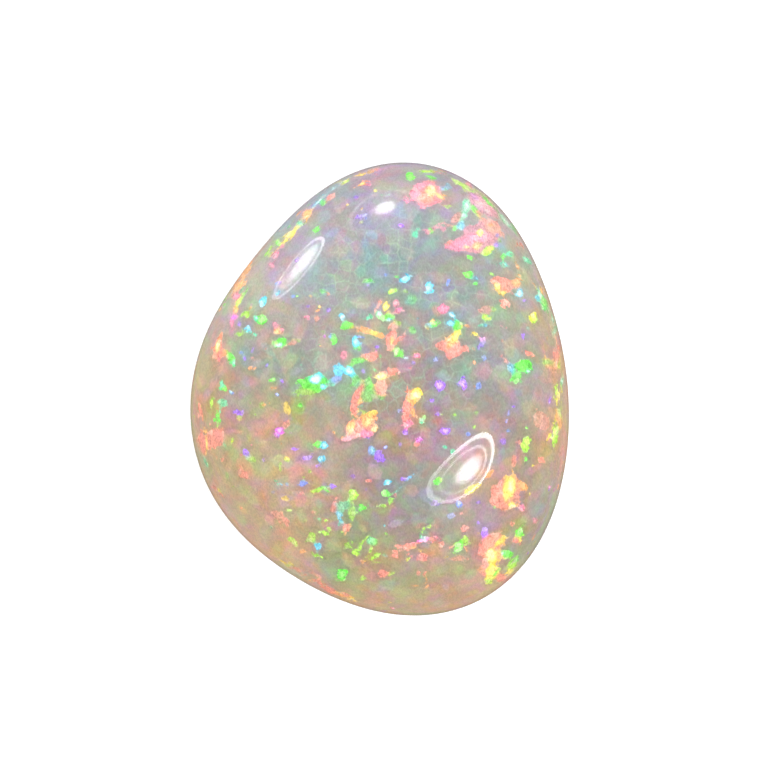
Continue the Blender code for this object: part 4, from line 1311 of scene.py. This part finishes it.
# %% Tree that scatters flakes of fire inside the stone
FLAKE_INPUTS = (
    ("Flakes per Square Metre", "NodeSocketFloat"),
    ("Least Depth", "NodeSocketFloat"),
    ("Most Depth", "NodeSocketFloat"),
    ("Least Radius", "NodeSocketFloat"),
    ("Most Radius", "NodeSocketFloat"),
    ("Least Breadth", "NodeSocketFloat"),
    ("Most Breadth", "NodeSocketFloat"),
    ("Thickness", "NodeSocketFloat"),
    ("Tilt", "NodeSocketFloat"),
    ("Seed", "NodeSocketInt"),
    ("Material", "NodeSocketMaterial"),
)
PLATE_CORNERS = (4, 5, 6)


def draw_number(tree, low, high, seed, offset):
    """A random number for each point or instance. The offset keeps draws with one seed apart."""
    made = add_node(tree, "FunctionNodeRandomValue", data_type="FLOAT")
    for identifier, value in (("Min_001", low), ("Max_001", high)):
        plug(tree, next(s for s in made.inputs if s.identifier == identifier), value)
    plug(tree, made.inputs["Seed"], plus(tree, seed, float(offset)))
    return next(s for s in made.outputs if s.identifier == "Value_001")


def flake_tree():
    """Points on the surface, sunk into the stone, each with a thin plate of one of a few shapes."""
    tree, given, result = open_tree("scatter_flakes", FLAKE_INPUTS)
    seed = given["Seed"]
    spread = {"Mesh": given["Geometry"], "Density": given["Flakes per Square Metre"], "Seed": seed}
    scatter = "GeometryNodeDistributePointsOnFaces"
    scattered = add_node(tree, scatter, spread, distribute_method="RANDOM").outputs
    # A random share times itself is more often small, so most flakes lie near the surface.
    lot = draw_number(tree, 0.0, 1.0, seed, 1)
    lot = times(tree, lot, lot)
    depth = times(tree, minus(tree, given["Most Depth"], given["Least Depth"]), lot)
    depth = plus(tree, depth, given["Least Depth"])
    inwards = move(tree, "SCALE", scattered["Normal"], times(tree, depth, -1.0))
    sunk = add_node(tree, "GeometryNodeSetPosition", {"Geometry": scattered["Points"], "Offset": inwards})

    shapes = add_node(tree, "GeometryNodeGeometryToInstance")
    for corners in PLATE_CORNERS:
        plate_size = {"Vertices": corners, "Radius": 1.0, "Depth": given["Thickness"]}
        plate = add_node(tree, "GeometryNodeMeshCylinder", plate_size, fill_type="NGON")
        tree.links.new(plate.outputs["Mesh"], shapes.inputs["Geometry"])
    other_way = times(tree, given["Tilt"], -1.0)
    tip = {
        "X": draw_number(tree, other_way, given["Tilt"], seed, 2),
        "Y": draw_number(tree, other_way, given["Tilt"], seed, 3),
        "Z": draw_number(tree, 0.0, math.tau, seed, 4),
    }
    tip = add_node(tree, "ShaderNodeCombineXYZ", tip).outputs[0]
    tip = add_node(tree, "FunctionNodeEulerToRotation", {"Euler": tip}).outputs[0]
    turned = {"Rotation": scattered["Rotation"], "Rotate By": tip}
    facing = add_node(tree, "FunctionNodeRotateRotation", turned, rotation_space="LOCAL").outputs[0]
    radius = draw_number(tree, given["Least Radius"], given["Most Radius"], seed, 5)
    breadth = draw_number(tree, given["Least Breadth"], given["Most Breadth"], seed, 6)
    size = {"X": radius, "Y": times(tree, radius, breadth), "Z": 1.0}
    on_points = {
        "Points": sunk.outputs[0],
        "Instance": shapes.outputs[0],
        "Pick Instance": True,
        "Rotation": facing,
        "Scale": add_node(tree, "ShaderNodeCombineXYZ", size).outputs[0],
    }
    plates = add_node(tree, "GeometryNodeInstanceOnPoints", on_points).outputs[0]
    for name, offset in (("flake_hue", 7), ("flake_heart", 8)):
        kept = {"Geometry": plates, "Name": name}
        keeping = {"data_type": "FLOAT", "domain": "INSTANCE"}
        store = add_node(tree, "GeometryNodeStoreNamedAttribute", kept, **keeping)
        plug(tree, store.inputs["Value"], draw_number(tree, 0.0, 1.0, seed, offset))
        plates = store.outputs[0]
    return close_tree(tree, plates, given, result)


scatter_tree = flake_tree()
print("the flake tree has", len(scatter_tree.nodes), "nodes")

# %% [markdown]
# The flakes send back light as the patches on the face do, and have a little painted glow, an emission that
# stands in for the lamp light that hardly reaches them directly through the milky body.

# %% Flakes of fire
FLAKE_MEASURES = {
    "Flakes per Square Metre": 1.3e6,
    "Least Depth": 0.40 * MM,
    "Most Depth": 3.2 * MM,
    "Least Radius": 0.20 * MM,
    "Most Radius": 0.60 * MM,
    "Least Breadth": 0.35,  # against the radius
    "Most Breadth": 0.9,
    "Thickness": 0.03 * MM,
    "Tilt": math.radians(22),
    "Seed": 8,
}
FLAKE_HEARTS = (0.7, 1.0)  # random numbers from which a flake is pale, and is so fully
FLAKE_PAINTED_GLOW = 0.45
FLAKE_ROUGHNESS = 0.4


def finish_flakes(material):
    """Build the flakes' material."""
    material.use_nodes = True
    tree = material.node_tree
    shader = tree.nodes["Principled BSDF"]
    hue = attribute(tree, "flake_hue")
    heart = fade(tree, attribute(tree, "flake_heart"), *FLAKE_HEARTS)
    colour = blend(tree, heart, palette(tree, hue, 0), palette(tree, hue, 1))
    plug(tree, shader.inputs["Base Color"], colour)
    plug(tree, shader.inputs["Emission Color"], colour)
    shader.inputs["Emission Strength"].default_value = FLAKE_PAINTED_GLOW
    shader.inputs["Roughness"].default_value = FLAKE_ROUGHNESS


flake_material = bpy.data.materials.new("fire_flake")
finish_flakes(flake_material)
flakes = grow("fire_flakes", scatter_tree, {**FLAKE_MEASURES, "Material": flake_material}, stone.data.copy())
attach(flakes, "root")
print("flakes:", len(flakes.data.polygons), "faces")

# %% [markdown]
# A plain white table that glows a little, and white light from everywhere, as in a light tent.

# %% Table and tent
TABLE_SIDE = 1.0
TABLE_DROP = 0.01 * MM  # the table's top lies this far under the stone's back
TABLE_FINISH = {
    "Base Color": (0.75, 0.75, 0.75, 1.0),
    "Roughness": 0.9,
    "Emission Color": (1.0, 1.0, 1.0, 1.0),
    "Emission Strength": 0.30,
}
TENT_AT_HORIZON = 0.75
TENT_OVERHEAD = 1.35

bpy.ops.mesh.primitive_plane_add(size=TABLE_SIDE, location=(0.0, 0.0, -TABLE_DROP))
table = bpy.context.object
table.name = "table"
table_material = bpy.data.materials.new("light_table")
table_material.use_nodes = True
table_shader = table_material.node_tree.nodes["Principled BSDF"]
for name, value in TABLE_FINISH.items():
    table_shader.inputs[name].default_value = value
table.data.materials.append(table_material)

world = bpy.data.worlds.new("light_tent")
world.use_nodes = True
sky = world.node_tree
up = split(sky, add_node(sky, "ShaderNodeTexCoord").outputs["Generated"])["Z"]
tent = sky.nodes["Background"]
plug(sky, tent.inputs["Strength"], fade(sky, up, 0.0, 1.0, TENT_AT_HORIZON, TENT_OVERHEAD))
tent.inputs["Color"].default_value = (1.0, 1.0, 1.0, 1.0)
bpy.context.scene.world = world
print("a table and a tent of white light")

# %% [markdown]
# Three lamps with round reflectors give the three highlights on the dome. A dome mirrors a lamp small, so
# the place and size of a highlight on the stone are set by the direction and width of its lamp. Each lamp
# is brightest near its middle and has a bright edge, as a reflector has. Two of them also have a thin ring
# in between.

# %% Lamps
LAMP_DISTANCE = 0.30
LAMPS = {
    "lamp_lower_right": {
        "direction": (-34.5, 51.5),  # azimuth and elevation, in degrees
        "turn": -31.0,  # degrees
        "size": (0.190, 0.084),  # width and height, in metres
        "middle": (0.10, -0.06),  # of the bright core, from -1 to 1 across the lamp
        "reach": 0.50,  # of the core
        "strengths": (38.0, 2.8, 20.0, 38.0),  # core, around it, thin ring, edge
        "bright_side": (1.0, 0.0),  # the side where the rings are brightest
    },
    "lamp_upper_left": {
        "direction": (134.0, 13.0),
        "turn": 0.0,
        "size": (0.095, 0.110),
        "middle": (-0.10, 0.08),
        "reach": 0.70,
        "strengths": (29.0, 2.4, 14.0, 26.0),
        "bright_side": (-0.5, 0.0),
    },
    "lamp_top": {
        "direction": (95.6, 17.0),
        "turn": 0.0,
        "size": (0.200, 0.200),
        "middle": (0.0, 0.0),
        "reach": 0.36,
        "strengths": (34.0, 1.6, 0.0, 7.0),
        "bright_side": (0.0, -1.0),
    },
}
CORE_SHARE = 0.45  # of the core's reach, within which it is brightest
RING_AT = 0.66  # from 0 in the lamp's middle to 1 on its edge
RING_FADE = (0.07, 0.01)  # where the ring ends and where it is full, on either side
EDGE_FADE = (0.84, 0.90)
RING_SIDES = (-0.9, 0.9, 0.30, 1.0)  # a fade from the dim side of the rings to the bright one


def light_reflector(data, lamp):
    """Give a lamp its pattern: a bright core, a dim ring, a thin brighter ring and a bright edge."""
    core, around_core, thin_ring, bright_edge = lamp["strengths"]
    data.use_nodes = True
    tree = data.node_tree
    spot = add_node(tree, "ShaderNodeNewGeometry").outputs["Parametric"]
    # From here on the place runs from -1 to 1 across the lamp.
    spot = move(tree, "SCALE", move(tree, "SUBTRACT", spot, (0.5, 0.5, 0.0)), 2.0)
    from_core = move(tree, "DISTANCE", spot, (*lamp["middle"], 0.0))
    inner = fade(tree, from_core, lamp["reach"], CORE_SHARE * lamp["reach"], around_core, core)
    outward = move(tree, "LENGTH", spot)
    from_ring = calc(tree, "ABSOLUTE", minus(tree, outward, RING_AT))
    rings = plus(
        tree,
        fade(tree, from_ring, *RING_FADE, 0.0, thin_ring),
        fade(tree, outward, *EDGE_FADE, 0.0, bright_edge),
    )
    to_side = move(tree, "DOT_PRODUCT", spot, (*lamp["bright_side"], 0.0))
    rings = times(tree, rings, fade(tree, to_side, *RING_SIDES))
    plug(tree, tree.nodes["Emission"].inputs["Strength"], plus(tree, inner, rings))


def hang_lamp(name, lamp):
    """Hang a lamp around the stone, facing it. Its energy gives every lamp the same brightness."""
    width, height = lamp["size"]
    azimuth, elevation = (math.radians(angle) for angle in lamp["direction"])
    data = bpy.data.lights.new(name, "AREA")
    data.shape = "ELLIPSE"
    data.size = width
    data.size_y = height
    data.energy = math.pi * math.pi / 4 * width * height
    light_reflector(data, lamp)
    hung = bpy.data.objects.new(name, data)
    bpy.context.scene.collection.objects.link(hung)
    away = Vector((
        math.cos(azimuth) * math.cos(elevation),
        math.sin(azimuth) * math.cos(elevation),
        math.sin(elevation),
    ))
    hung.location = away * LAMP_DISTANCE
    turn = Quaternion((0.0, 0.0, 1.0), math.radians(lamp["turn"]))
    hung.rotation_euler = ((-away).to_track_quat("-Z", "Y") @ turn).to_euler()


for name, lamp in LAMPS.items():
    hang_lamp(name, lamp)
bpy.context.scene.view_settings.view_transform = "Standard"
print(len(LAMPS), "lamps")
